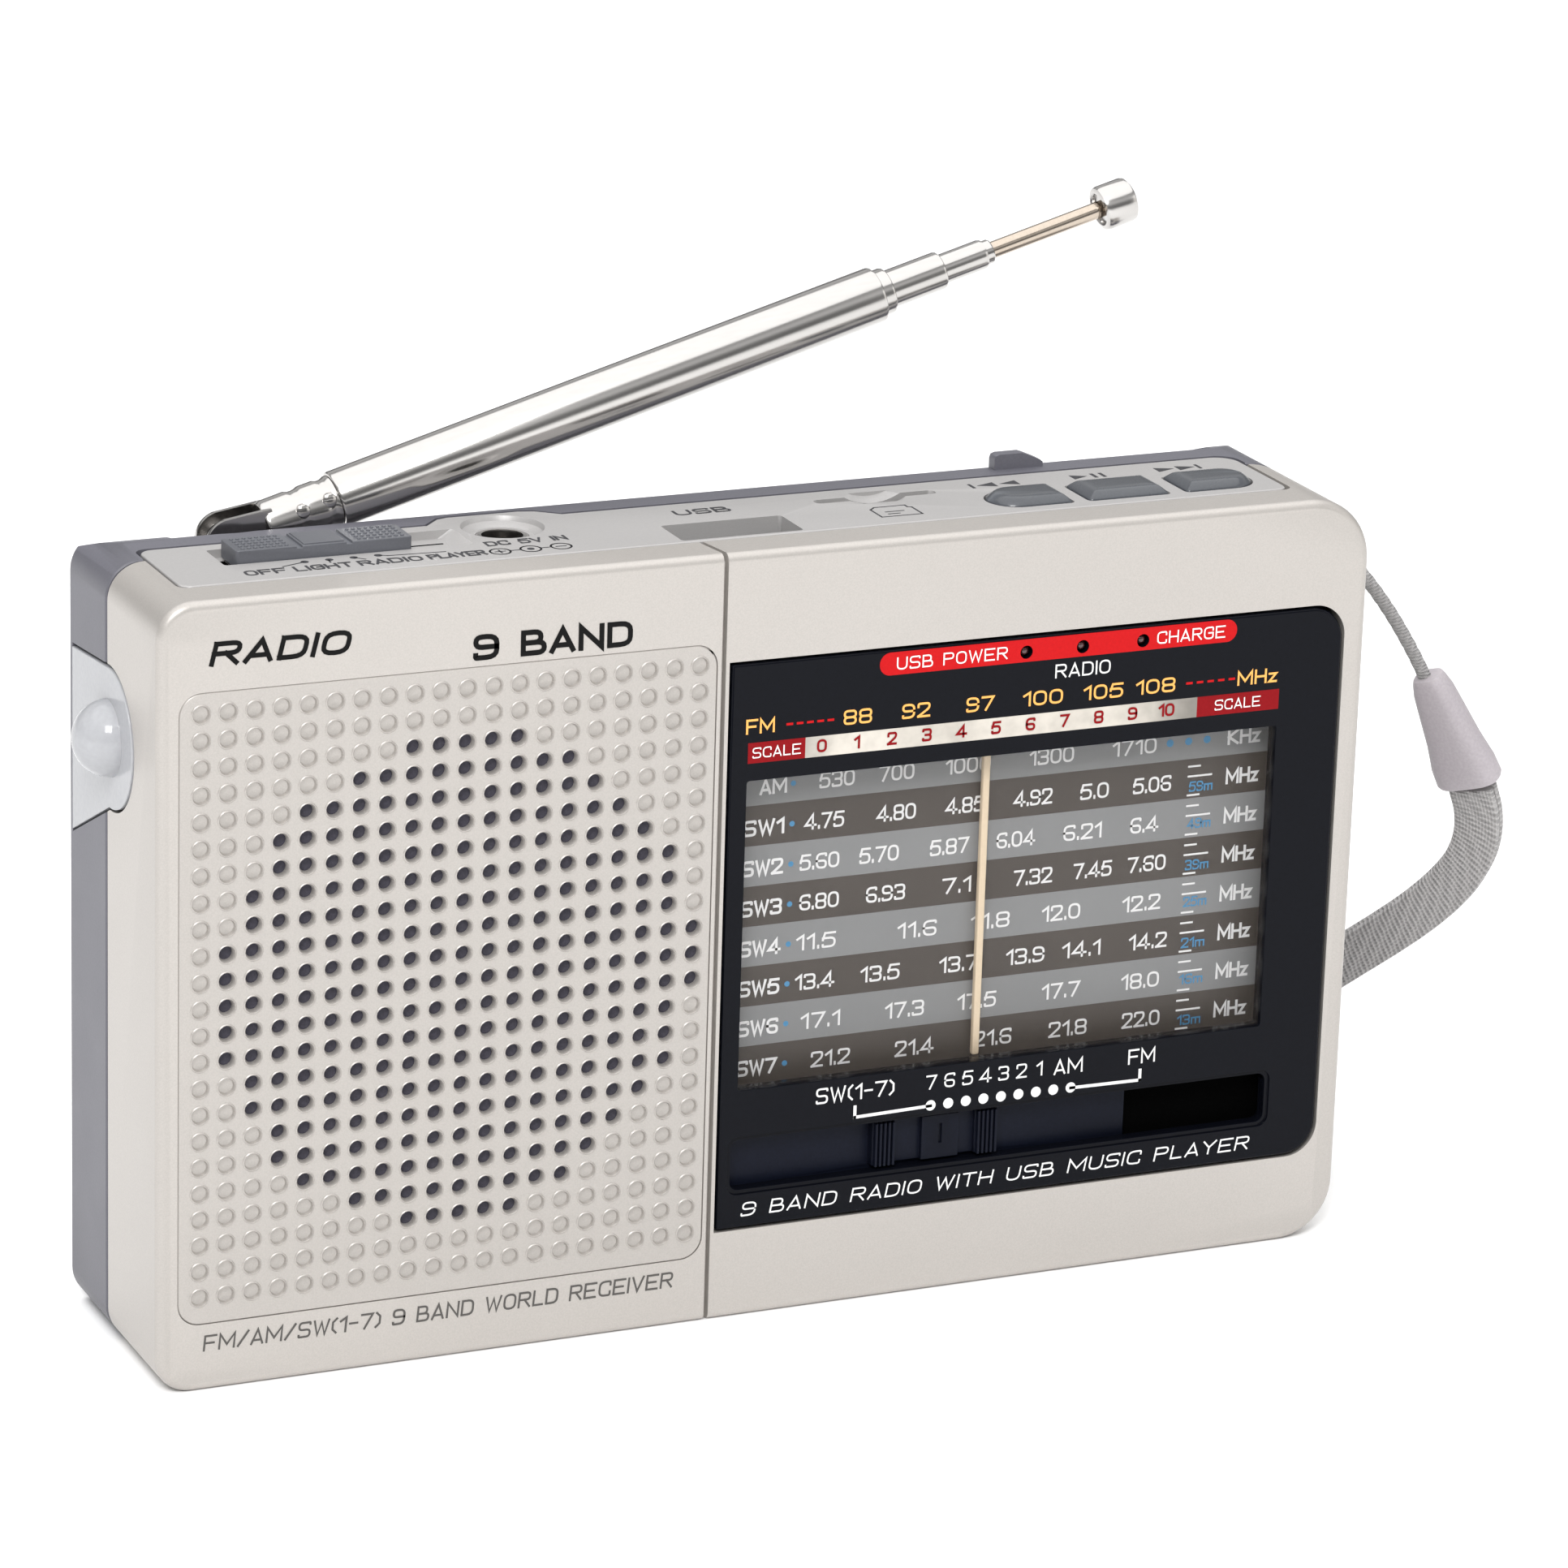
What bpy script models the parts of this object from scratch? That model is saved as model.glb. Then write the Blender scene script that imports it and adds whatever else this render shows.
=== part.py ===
"""Pocket shortwave receiver: two-part case, dial drive, switches, telescopic whip aerial and wrist strap.

+X is to the right, +Y goes into the case from its front, +Z is up. The origin is under the middle of the
case, on the surface that it stands on. Sizes are in millimetres, and MM turns them into metres.
"""

from math import acos, atan2, ceil, cos, degrees, hypot, pi, radians, sin

import bmesh
import bpy
from mathutils import Matrix, Vector

MM = 0.001
GAP = 0.3  # clearance between neighbouring pieces

# Case
PITCH = 2.8  # spacing of the grille holes, which sets the scale of the front
WIDTH = 48 * PITCH
HEIGHT = 83.3
DEPTH = 28.0
RIGHT, TOP, REAR = WIDTH / 2, HEIGHT, DEPTH / 2
LEFT, FRONT = -RIGHT, -REAR
CORNER, CORNER_LOWER_RIGHT, CORNER_UPPER_RIGHT = 3.8, 6.4, 7.0
WALL = 1.8
EDGE = 0.8  # bevel round the front and rear faces
SEAM = 2.0  # where the front and rear covers meet
STEP_Y, STEP_Z = 9.0, 78.2  # ledge along the rear top edge that the folded aerial lies on
STEP_X = (-58.0, 60.0)
SCREWS = [(x, z) for x in (-60, 60) for z in (4.6, 74.8)]
SCREW_HEAD = 2.2
MIDDLE_SHIFT = (1.48, -0.6, 0)  # puts the middle of the receiver, with its torch and aerial, over the origin
ARC = 5  # sides in each rounded corner

# Loudspeaker grille
GRILLE_COLUMNS, GRILLE_ROWS = 20, 23
GRILLE_LEFT, GRILLE_BOTTOM = -62.72, 10.22  # lower left hole
GRILLE_PLATE = (-65.0, 7.3, -7.6, 74.0)
SOUND_COLUMN, SOUND_ROW, SOUND_RADIUS = 9.9, 11, 9.263  # round patch of open holes, in pitches
HOLE_RADIUS, HOLE_SIDES = 0.88, 4
SPEAKER_X, SPEAKER_Z, SPEAKER_RADIUS = -35.0, 41.0, 25.0
SEAM_LINE_X = -6.9  # upright groove between the two halves of the front

# Dial
BEZEL = (-6.1, 9.9, 64.5, 71.7)
BEZEL_CORNER = 3.6
WINDOW = (-4.0, 25.3, 57.0, 59.0)
BAND_SLOT = (-4.5, 14.2, 58.1, 19.7)
BAND_BODY_Y = -9.0
SCALE_Y = -10.2
POINTER_X = 24.6
LED_X = (27.2, 33.7, 40.7)
LED_Z = 69.9

# Dial drive: a cord round the tuning spindle, the capacitor drum and two guide posts
TUNING_X, TUNING_Z, TUNING_RADIUS, SPINDLE_RADIUS = 55.1, 47.0, 13.0, 8.0
DRUM_X, DRUM_Z, DRUM_RADIUS = 20.0, 43.0, 13.4
POST_RADIUS, POST_Z, POSTS_X = 2.0, 63.5, (-1.0, 61.0)
CORD_Y, CORD_RADIUS = -8.3, 0.3
VOLUME_X, VOLUME_Z, VOLUME_RADIUS = 58.1, 21.0, 10.0
WHEEL_Y = (-7.3, -4.5)

BOARD_Y, BOARD_THICK = -1.2, 1.1

# Top panel
PANEL = (-63.0, -8.6, 60.2, 5.5)
PANEL_THICK = 1.8
JACK_X, JACK_Y, JACK_HOLE = -24.7, 2.6, 2.5
USB = (-9.2, -7.9, 4.3, -2.0)
CARD_SLOT = (9.7, 0.9, 23.5, 2.3)
FUNCTION_RECESS = (-56.3, -2.4, -29.6, 3.4)
FUNCTION_STEP = 1.8
BUTTONS = {"skip_back_button": (27.2, 35.7), "play_button": (37.6, 46.9), "skip_forward_button": (49.0, 57.7)}
BUTTON_Y = (-6.6, -0.6)
BUTTON_PROUD = 0.9

# Left and right sides
TORCH_Y, TORCH_Z, TORCH_RADIUS, TORCH_DOME = 0.8, 65.5, 7.3, 4.0
STRAP_Y, STRAP_Z = 6.0, 73.5
PHONES_Y, PHONES_Z = 6.4, 30.0

# Battery
BATTERY = (-30.0, 13.0, 23.0, 47.0)
BATTERY_Y = (6.0, 11.8)

# Aerial: distances along it are measured from its pivot
PIVOT = (-51.0, 12.3, 81.45)
AERIAL_TILT = 16.1
KNUCKLE_RADIUS, KNUCKLE_BORE, NECK_RADIUS, CHEEK_RADIUS = 2.7, 2.3, 2.0, 2.8
TUBES = (("aerial_tube_1", 3.0, 2.72, 12.3, 74.9), ("aerial_tube_2", 2.5, 2.25, 13.6, 76.2),
         ("aerial_tube_3", 2.05, 1.8, 14.8, 82.5), ("aerial_tube_4", 1.6, 1.1, 16.0, 88.5))
ROD_RADIUS, ROD_START, ROD_END = 0.9, 29.6, 101.6
TIP_RADIUS, TIP_LENGTH, TIP_RECESS = 2.42, 3.8, 1.6

# Wrist strap: the middle line of the thin cord, of the sleeve and of the webbing, point by point
STRAP_CORD = ((66.8, 6.0, 73.5), (70.2, 5.9, 73.4), (72.6, 5.4, 72.6), (75.2, 4.7, 70.6), (77.6, 4.0, 67.8),
              (79.9, 3.4, 64.6), (82.0, 2.9, 61.2), (83.8, 2.5, 57.9), (85.4, 2.3, 54.7), (86.9, 2.2, 51.8))
SLEEVE_TOP, SLEEVE_BOTTOM = (84.5, 2.4, 57.3), (90.6, 2.0, 44.6)
WEBBING = ((90.9, 2.0, 43.9), (91.9, 2.1, 40.8), (92.3, 2.8, 37.4), (91.9, 4.2, 34.0), (90.9, 6.4, 30.7),
           (89.2, 9.0, 27.4), (86.9, 11.9, 24.1), (84.0, 14.9, 20.7), (80.6, 17.8, 17.1), (76.8, 20.4, 13.4),
           (72.6, 22.6, 9.8), (68.0, 24.4, 6.7), (63.0, 25.8, 4.5), (57.6, 26.8, 3.5), (52.0, 27.4, 3.1),
           (46.4, 27.7, 3.0))
WEBBING_WIDTH, WEBBING_THICK = 5.2, 2.4
BAND_FACING = Vector((0.72, 0.62, 0.32))  # the way that the flat of the sleeve and of the webbing faces

MATERIALS = {  # base colour, roughness, metallic
    "silver_paint": ((0.66, 0.62, 0.58), 0.38, 0.35),
    "slate_plastic": ((0.17, 0.17, 0.20), 0.45, 0.0),
    "panel_plastic": ((0.57, 0.57, 0.55), 0.42, 0.1),
    "black_gloss": ((0.008, 0.008, 0.012), 0.10, 0.0),
    "clear": ((0.85, 0.87, 0.90), 0.05, 0.0),
    "scale_print": ((0.16, 0.15, 0.13), 0.45, 0.0),
    "cream_plastic": ((0.80, 0.70, 0.52), 0.40, 0.0),
    "dark_plastic": ((0.05, 0.05, 0.06), 0.35, 0.0),
    "button_rubber": ((0.07, 0.075, 0.085), 0.32, 0.0),
    "chrome": ((0.80, 0.80, 0.80), 0.12, 1.0),
    "steel": ((0.55, 0.55, 0.56), 0.30, 1.0),
    "board": ((0.05, 0.22, 0.10), 0.50, 0.0),
    "paper_cone": ((0.04, 0.04, 0.045), 0.80, 0.0),
    "ferrite": ((0.06, 0.06, 0.06), 0.60, 0.0),
    "copper_wire": ((0.70, 0.30, 0.12), 0.35, 1.0),
    "battery_wrap": ((0.10, 0.16, 0.30), 0.45, 0.0),
    "led_lens": ((0.30, 0.05, 0.05), 0.15, 0.0),
    "strap_fabric": ((0.50, 0.49, 0.48), 0.85, 0.0),
    "sleeve_plastic": ((0.47, 0.44, 0.46), 0.50, 0.0),
}


# ---- helpers -------------------------------------------------------------------------------------------


def clear_scene():
    for item in list(bpy.data.objects):
        bpy.data.objects.remove(item)


def material(name):
    """The material called name, made on first use from its row in MATERIALS."""
    found = bpy.data.materials.get(name)
    if found:
        return found
    colour, roughness, metallic = MATERIALS[name]
    made = bpy.data.materials.new(name)
    made.use_nodes = True
    shader = made.node_tree.nodes["Principled BSDF"]
    shader.inputs["Base Color"].default_value = (*colour, 1)
    shader.inputs["Roughness"].default_value = roughness
    shader.inputs["Metallic"].default_value = metallic
    made.diffuse_color = (*colour, 1)
    return made


def add(name, mesh_edit, finish=None):
    """A new object from a bmesh in millimetres. With no finish it is a helper, not part of the model."""
    bmesh.ops.recalc_face_normals(mesh_edit, faces=mesh_edit.faces)
    bmesh.ops.scale(mesh_edit, vec=(MM, MM, MM), verts=mesh_edit.verts)
    mesh = bpy.data.meshes.new(name)
    mesh_edit.to_mesh(mesh)
    mesh_edit.free()
    mesh.shade_smooth()
    mesh.set_sharp_from_angle(angle=radians(35))
    made = bpy.data.objects.new(name, mesh)
    bpy.context.scene.collection.objects.link(made)
    if finish:
        mesh.materials.append(material(finish))
    else:
        made.hide_render = True
        made.display_type = "WIRE"
    return made


def place(axis, a, b, along):
    """A point whose outline coordinates are a and b, and whose distance along the axis is along."""
    return {"X": (along, a, b), "Y": (a, along, b), "Z": (a, b, along)}[axis]


def rounded(x0, y0, x1, y1, radii, sides=ARC):
    """Outline of a rectangle with rounded corners: lower left, lower right, upper right, upper left."""
    if not isinstance(radii, tuple):
        radii = (radii,) * 4
    corners = ((x0, y0, 1, 1, 180), (x1, y0, -1, 1, 270), (x1, y1, -1, -1, 0), (x0, y1, 1, -1, 90))
    points = []
    for (x, y, inward_x, inward_y, start), radius in zip(corners, radii):
        for step in range(sides + 1 if radius else 1):
            turn = radians(start + 90 * step / sides)
            points.append((x + radius * (inward_x + cos(turn)), y + radius * (inward_y + sin(turn))))
    return points


def circle(x, y, radius, sides, turn=0.0):
    return [(x + radius * cos(2 * pi * i / sides + turn), y + radius * sin(2 * pi * i / sides + turn))
            for i in range(sides)]


def loft(axis, layers, into=None):
    """A closed solid through layers of (distance along the axis, outline) with equally many points."""
    mesh_edit = into or bmesh.new()
    rings = [[mesh_edit.verts.new(place(axis, a, b, along)) for a, b in outline]
             for along, outline in layers]
    mesh_edit.faces.new(rings[0])
    mesh_edit.faces.new(rings[-1])
    for lower, upper in zip(rings, rings[1:]):
        for i in range(len(lower)):
            j = (i + 1) % len(lower)
            mesh_edit.faces.new((lower[i], lower[j], upper[j], upper[i]))
    return mesh_edit


def prism(axis, outline, low, high, into=None):
    return loft(axis, ((low, outline), (high, outline)), into)


def block(low, high, into=None):
    outline = [(low[0], low[1]), (high[0], low[1]), (high[0], high[1]), (low[0], high[1])]
    return prism("Z", outline, low[2], high[2], into)


def turned(axis, centre, profile, sides, into=None):
    """A solid of revolution: profile lists (radius, distance along the axis) from end to end."""
    return loft(axis, [(along, circle(*centre, radius, sides)) for radius, along in profile], into)


def boolean(target, operation, mesh_edit, name):
    other = add(f"{target.name}_{name}", mesh_edit)
    modifier = target.modifiers.new(name, "BOOLEAN")
    modifier.operation = operation
    modifier.solver = "EXACT"
    modifier.object = other


def cut(target, mesh_edit, name="cut"):
    boolean(target, "DIFFERENCE", mesh_edit, name)


def fuse(target, mesh_edit, name="fused"):
    boolean(target, "UNION", mesh_edit, name)


def grown(rectangle, by):
    x0, y0, x1, y1 = rectangle
    return x0 - by, y0 - by, x1 + by, y1 + by


def tube_curve(name, points, radius, finish, closed=False):
    """A round cord as a poly curve with a bevel and filled caps."""
    curve = bpy.data.curves.new(name, "CURVE")
    curve.dimensions = "3D"
    curve.bevel_depth = radius * MM
    curve.bevel_resolution = 2 if not closed else 1
    curve.use_fill_caps = True
    spline = curve.splines.new("POLY")
    spline.points.add(len(points) - 1)
    for knot, point in zip(spline.points, points):
        knot.co = (*(Vector(point) * MM), 1)
    spline.use_cyclic_u = closed
    curve.materials.append(material(finish))
    made = bpy.data.objects.new(name, curve)
    bpy.context.scene.collection.objects.link(made)
    return made


def smooth_line(points, step):
    """Points about step apart on a Catmull-Rom curve through the given ones."""
    knots = [Vector(p) for p in points]
    knots = [2 * knots[0] - knots[1], *knots, 2 * knots[-1] - knots[-2]]
    line = []
    for before, start, end, after in zip(knots, knots[1:], knots[2:], knots[3:]):
        count = max(1, ceil((end - start).length / step))
        for i in range(count):
            t = i / count
            square = 2 * before - 5 * start + 4 * end - after
            cube = 3 * start - before - 3 * end + after
            line.append(0.5 * (2 * start + (end - before) * t + square * t**2 + cube * t**3))
    return [*line, knots[-2]]


# ---- case ----------------------------------------------------------------------------------------------


def case_outline(inset=0.0):
    radii = tuple(max(r - inset, 0.5) for r in (CORNER, CORNER_LOWER_RIGHT, CORNER_UPPER_RIGHT, CORNER))
    return rounded(LEFT + inset, inset, RIGHT - inset, TOP - inset, radii)


def panel_outline(clearance=0.0):
    """Outline of the top panel, whose rear edge steps out round the power socket."""
    x0, y0, x1, y1 = grown(PANEL, clearance)
    edge = rounded(x0, y0, x1, y1, (1.2, 1.2, 2.4, 1.4), sides=3)
    bump = [(JACK_X + 7.6, y1), (JACK_X + 4.2, y1 + 2.3), (JACK_X - 4.6, y1 + 2.3), (JACK_X - 7.2, y1)]
    return edge[:12] + bump + edge[12:]


def front_cover():
    cover = add("front_cover", loft("Y", ((FRONT, case_outline(EDGE)), (FRONT + 0.25, case_outline(0.25)),
                                          (FRONT + EDGE, case_outline()), (SEAM - GAP / 2, case_outline()))),
                "silver_paint")
    cut(cover, prism("Y", case_outline(WALL), FRONT + WALL, SEAM + 1), "hollow")
    for x, z in SCREWS:
        fuse(cover, turned("Y", (x, z), ((2.2, FRONT + WALL - 0.2), (2.2, SEAM - GAP)), 12), f"post_{x}_{z}")
    openings = prism("Y", rounded(*grown(GRILLE_PLATE, GAP / 2), 2.0, 3), FRONT - 1, FRONT + WALL + 0.1)
    prism("Y", rounded(*grown(BEZEL, GAP / 2), (0, BEZEL_CORNER, BEZEL_CORNER, 0)), FRONT - 1,
          FRONT + WALL + 0.1, openings)
    prism("Z", panel_outline(GAP / 2), TOP - PANEL_THICK - 2.2, TOP + 1, openings)
    for z, radius in ((TUNING_Z, TUNING_RADIUS), (VOLUME_Z, VOLUME_RADIUS)):
        reach = (radius**2 - (radius - 0.9 - WALL) ** 2) ** 0.5 + 0.5
        block((RIGHT - 3, WHEEL_Y[0] - 0.5, z - reach), (RIGHT + 1, WHEEL_Y[1] + 0.5, z + reach), openings)
    for screw in SCREWS:
        turned("Y", screw, ((0.95, SEAM - 9), (0.95, SEAM + 2)), 8, openings)
    cut(cover, openings, "openings")
    groove = block((SEAM_LINE_X - 0.2, FRONT - 1, -1), (SEAM_LINE_X + 0.2, FRONT + 0.4, TOP + 1))
    cut(cover, groove, "seam_line")
    cut_torch_window(cover)


def cut_torch_window(cover):
    """The shallow window that the torch lens lies in, and the round hole behind its front part."""
    cut(cover, prism("X", torch_outline(TORCH_RADIUS + GAP), LEFT - 1, LEFT + 1.2), "torch_window")
    hole = TORCH_RADIUS + GAP
    cut(cover, turned("X", (TORCH_Y, TORCH_Z), ((hole, LEFT), (hole, LEFT + 3)), 24), "torch_hole")


def torch_outline(radius):
    """Side view of the torch lens: round in front, flaring out to the rear edge of the side."""
    front = [(TORCH_Y - radius * sin(t), TORCH_Z + radius * cos(t))
             for t in (pi * i / 12 for i in range(13))]
    more = radius - TORCH_RADIUS
    rear = REAR - 1.4 + more
    return front + [(rear, TORCH_Z - 13.2 - 1.3 * more), (rear, TORCH_Z + 6.2 + 1.1 * more)]


def rear_cover():
    cover = add("rear_cover", loft("Y", ((SEAM + GAP / 2, case_outline()), (REAR - 1.6, case_outline()),
                                         (REAR - 0.5, case_outline(0.4)), (REAR, case_outline(1.3)))),
                "slate_plastic")
    cut(cover, prism("Y", case_outline(WALL), SEAM - 1, REAR - WALL), "hollow")
    fuse(cover, prism("X", step_web(), STEP_X[0] - WALL, STEP_X[1] + WALL), "ledge_web")
    fuse(cover, block((BATTERY[0] - 5.4, BATTERY_Y[0] - 1.6, BATTERY[1] - 5.4),
                      (BATTERY[2] + 5.4, REAR - 0.6, BATTERY[3] + 5.4)), "bay_walls")
    for x, z in SCREWS:
        fuse(cover, turned("Y", (x, z), ((3.4, SEAM + GAP), (3.4, REAR - 1)), 12), f"post_{x}_{z}")
    ledge = prism("X", [(STEP_Y, TOP + 2), (STEP_Y, STEP_Z + 1.0), (STEP_Y + 0.3, STEP_Z + 0.3),
                        (STEP_Y + 1.0, STEP_Z), (REAR - 0.9, STEP_Z), (REAR + 1, STEP_Z - 1.6),
                        (REAR + 1, TOP + 2)], *STEP_X)
    cut(cover, ledge, "aerial_ledge")
    sloping_top = prism("X", [(STEP_Y, TOP), (REAR + 1, TOP - 1.8), (REAR + 1, TOP + 2), (STEP_Y, TOP + 2)],
                        LEFT - 1, RIGHT + 1)
    cut(cover, sloping_top, "sloping_top")
    cuts = prism("Z", panel_outline(GAP / 2), TOP - PANEL_THICK - 1.0, TOP + 1)
    block((BATTERY[0] - 0.8, BATTERY_Y[0] - 0.2, BATTERY[1] - 0.8),
          (BATTERY[2] + 0.8, REAR + 1, BATTERY[3] + 0.8), cuts)
    for screw in SCREWS:
        turned("Y", screw, ((1.4, SEAM - 1), (1.4, REAR - 4), (2.5, REAR - 4), (2.5, REAR + 1)), 12, cuts)
    turned("X", (PHONES_Y, PHONES_Z), ((2.9, RIGHT - 3), (2.9, RIGHT + 1)), 24, cuts)
    block((RIGHT - 2.9, STRAP_Y - 2.6, STRAP_Z - 3.2), (RIGHT + 1, STRAP_Y + 2.6, STRAP_Z + 3.2), cuts)
    turned("Z", PIVOT[:2], (
        (1.0, STEP_Z - 2.6), (1.0, STEP_Z - 0.6), (2.2, STEP_Z - 0.6), (2.2, STEP_Z + 0.5), (3.7, STEP_Z + 0.5),
        (3.7, TOP + 1)), 20, cuts)
    cut(cover, cuts, "openings")
    door_seat = block((BATTERY[0] - 3.4, REAR - 1.9, BATTERY[1] - 3.4),
                      (BATTERY[2] + 3.4, REAR + 1, BATTERY[3] + 3.4))
    cut(cover, door_seat, "door_seat")
    cut_torch_window(cover)
    fuse(cover, aerial_clip(), "aerial_clip")


def step_web():
    """Section of the thickening under the ledge, which keeps the rear wall whole where it is cut."""
    return [(STEP_Y - WALL, TOP - 1.0), (STEP_Y - WALL, STEP_Z - WALL), (REAR - 1.0, STEP_Z - WALL - 1.6),
            (REAR - 1.0, TOP - 1.0)]


def aerial_clip():
    """Finger on the front side of the ledge, which the folded aerial lies behind."""
    outline = [(33.2, TOP - 1.5), (38.9, TOP - 1.5), (38.9, TOP + 0.5), (36.6, TOP + 1.65),
               (33.6, TOP + 1.65), (33.2, TOP + 1.2)]
    return prism("Y", outline, STEP_Y - 1.5, STEP_Y - 0.1)


def battery_door():
    x0, z0, x1, z1 = grown(BATTERY, 3.4 - GAP)
    door = add("battery_door", prism("Y", rounded(x0, z0, x1, z1, 1.2, 2), REAR - 1.9 + GAP, REAR),
               "slate_plastic")
    ribs = bmesh.new()
    middle = (z0 + z1) / 2
    for i in range(4):
        x = x1 - 5 - 1.8 * i
        block((x, REAR - 0.3, middle - 5), (x + 1, REAR + 1, middle + 5), ribs)
    cut(door, ribs, "thumb_ribs")


def case_screws():
    for number, spot in enumerate(SCREWS, 1):
        screw = add(f"case_screw_{number}", turned("Y", spot, (
            (0.65, SEAM - 5), (0.65, REAR - 4 + GAP), (SCREW_HEAD, REAR - 4 + GAP), (SCREW_HEAD, REAR - 3),
            (SCREW_HEAD - 0.6, REAR - 2.4)), 10), "steel")
        x, z = spot
        cross = block((x - 1.2, REAR - 3.0, z - 0.3), (x + 1.2, REAR, z + 0.3))
        cut(screw, cross, "slot_a")
        cut(screw, block((x - 0.3, REAR - 3.0, z - 1.2), (x + 0.3, REAR, z + 1.2)), "slot_b")


# ---- grille and loudspeaker ----------------------------------------------------------------------------


def sound_holes():
    """Centres of the open holes: those of the square grid that lie in the round patch."""
    for column in range(GRILLE_COLUMNS):
        for row in range(GRILLE_ROWS):
            if hypot(column - SOUND_COLUMN, row - SOUND_ROW) <= SOUND_RADIUS:
                yield GRILLE_LEFT + column * PITCH, GRILLE_BOTTOM + row * PITCH


def speaker_grille():
    grille = add("speaker_grille", prism("Y", rounded(*grown(GRILLE_PLATE, -GAP / 2), 2.0, 3), FRONT + 0.05,
                                         FRONT + WALL - 0.2), "silver_paint")
    holes = bmesh.new()
    for x, z in sound_holes():
        prism("Y", circle(x, z, HOLE_RADIUS, HOLE_SIDES, pi / 4), FRONT - 1, FRONT + WALL + 1, holes)
    cut(grille, holes, "sound_holes")


def speaker():
    centre = (SPEAKER_X, SPEAKER_Z)
    back = FRONT + WALL
    frame = add("speaker_frame", turned("Y", centre, (
        (SPEAKER_RADIUS, back + 0.3), (SPEAKER_RADIUS, back + 1.9), (SPEAKER_RADIUS - 1.6, back + 1.9),
        (13.0, back + 8.6), (13.0, back + 9.6)), 24), "steel")
    cut(frame, turned("Y", centre, ((SPEAKER_RADIUS - 2.0, back), (SPEAKER_RADIUS - 2.0, back + 1.2),
                                    (12.2, back + 7.9), (12.2, back + 8.8)), 24), "basket_bowl")
    cut(frame, turned("Y", centre, ((8.0, back + 8), (8.0, back + 11)), 16), "voice_hole")
    add("speaker_magnet", turned("Y", centre, ((11.5, back + 9.9), (12.0, back + 10.4), (12.0, back + 14.6),
                                               (11.5, back + 15.1)), 20), "steel")
    rim = SPEAKER_RADIUS - 2.5
    cone = add("speaker_cone", turned("Y", centre, (
        (rim, back + 0.5), (rim, back + 1.0), (7.4, back + 7.0), (7.4, back + 9.3)), 20), "paper_cone")
    cut(cone, turned("Y", centre, ((SPEAKER_RADIUS - 3.3, back), (SPEAKER_RADIUS - 3.3, back + 0.6),
                                   (6.6, back + 6.6), (6.6, back + 8.4)), 20), "cone_bowl")


# ---- dial ----------------------------------------------------------------------------------------------


def dial():
    x0, z0, x1, z1 = grown(BEZEL, -GAP / 2)
    radii = (0, BEZEL_CORNER, BEZEL_CORNER, 0)
    bezel = add("dial_bezel", loft("Y", (
        (FRONT - 0.1, rounded(x0 + 0.3, z0 + 0.3, x1 - 0.3, z1 - 0.3, radii)),
        (FRONT + 0.2, rounded(x0, z0, x1, z1, radii)), (FRONT + 1.6, rounded(x0, z0, x1, z1, radii)))),
        "black_gloss")
    openings = prism("Y", rounded(*grown(WINDOW, 0), 0.4, 2), FRONT - 1, FRONT + 3)
    prism("Y", rounded(*BAND_SLOT, 0.8, 3), FRONT - 1, FRONT + 3, openings)
    for x in LED_X:
        prism("Y", circle(x, LED_Z, 0.75, 8), FRONT - 1, FRONT + 3, openings)
    cut(bezel, openings, "openings")
    pane = prism("Y", rounded(*grown(WINDOW, -GAP / 2), 0.4, 2), FRONT + 0.05, FRONT + 1.3)
    add("dial_window", pane, "clear")
    for name, x in zip(("power_led", "radio_led", "charge_led"), LED_X):
        add(name, turned("Y", (x, LED_Z), ((0.3, FRONT + 0.3), (0.55, FRONT + 0.6), (0.55, FRONT + 1.9),
                                           (0.9, FRONT + 1.9), (0.9, FRONT + 3.2)), 8), "led_lens")
    plate = add("dial_scale_plate", block((-5.6, SCALE_Y, 22.6), (63.0, SCALE_Y + 0.6, 66.5)), "scale_print")
    for x in POSTS_X:
        post = turned("Y", (x, POST_Z), ((POST_RADIUS, SCALE_Y + 0.3), (POST_RADIUS, CORD_Y + 0.9)), 12)
        fuse(plate, post, f"post_{x:.0f}")


def pointer():
    """The upright bar in front of the scale, hooked over the plate to a saddle on the drive cord."""
    front, left, right = SCALE_Y - 1.1, POINTER_X - 1.5, POINTER_X + 1.5
    bar = add("dial_pointer", block((POINTER_X - 0.4, front, 24.9), (POINTER_X + 0.4, front + 0.7, 67.6)),
              "cream_plastic")
    fuse(bar, block((left, front, 66.9), (right, CORD_Y + 0.9, 67.6)), "bridge")
    fuse(bar, block((left, CORD_Y + 0.4 + CORD_RADIUS, 64.9), (right, CORD_Y + 1.4, 67.6)), "saddle")


def belt(circles):
    """The loop of a cord pulled tight round circles (x, z, radius), which are listed clockwise."""
    tangents = []
    for (x, z, radius), (next_x, next_z, next_radius) in zip(circles, circles[1:] + circles[:1]):
        run, rise = next_x - x, next_z - z
        lean = acos((radius - next_radius) / hypot(run, rise))
        tangents.append(atan2(rise, run) + lean)
    points = []
    for i, (x, z, radius) in enumerate(circles):
        start, end = tangents[i - 1], tangents[i]
        while end > start:
            end -= 2 * pi
        count = max(2, ceil((start - end) / radians(20)))
        for step in range(count + 1):
            turn = start + (end - start) * step / count
            points.append((x + radius * cos(turn), CORD_Y, z + radius * sin(turn)))
    return points


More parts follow.
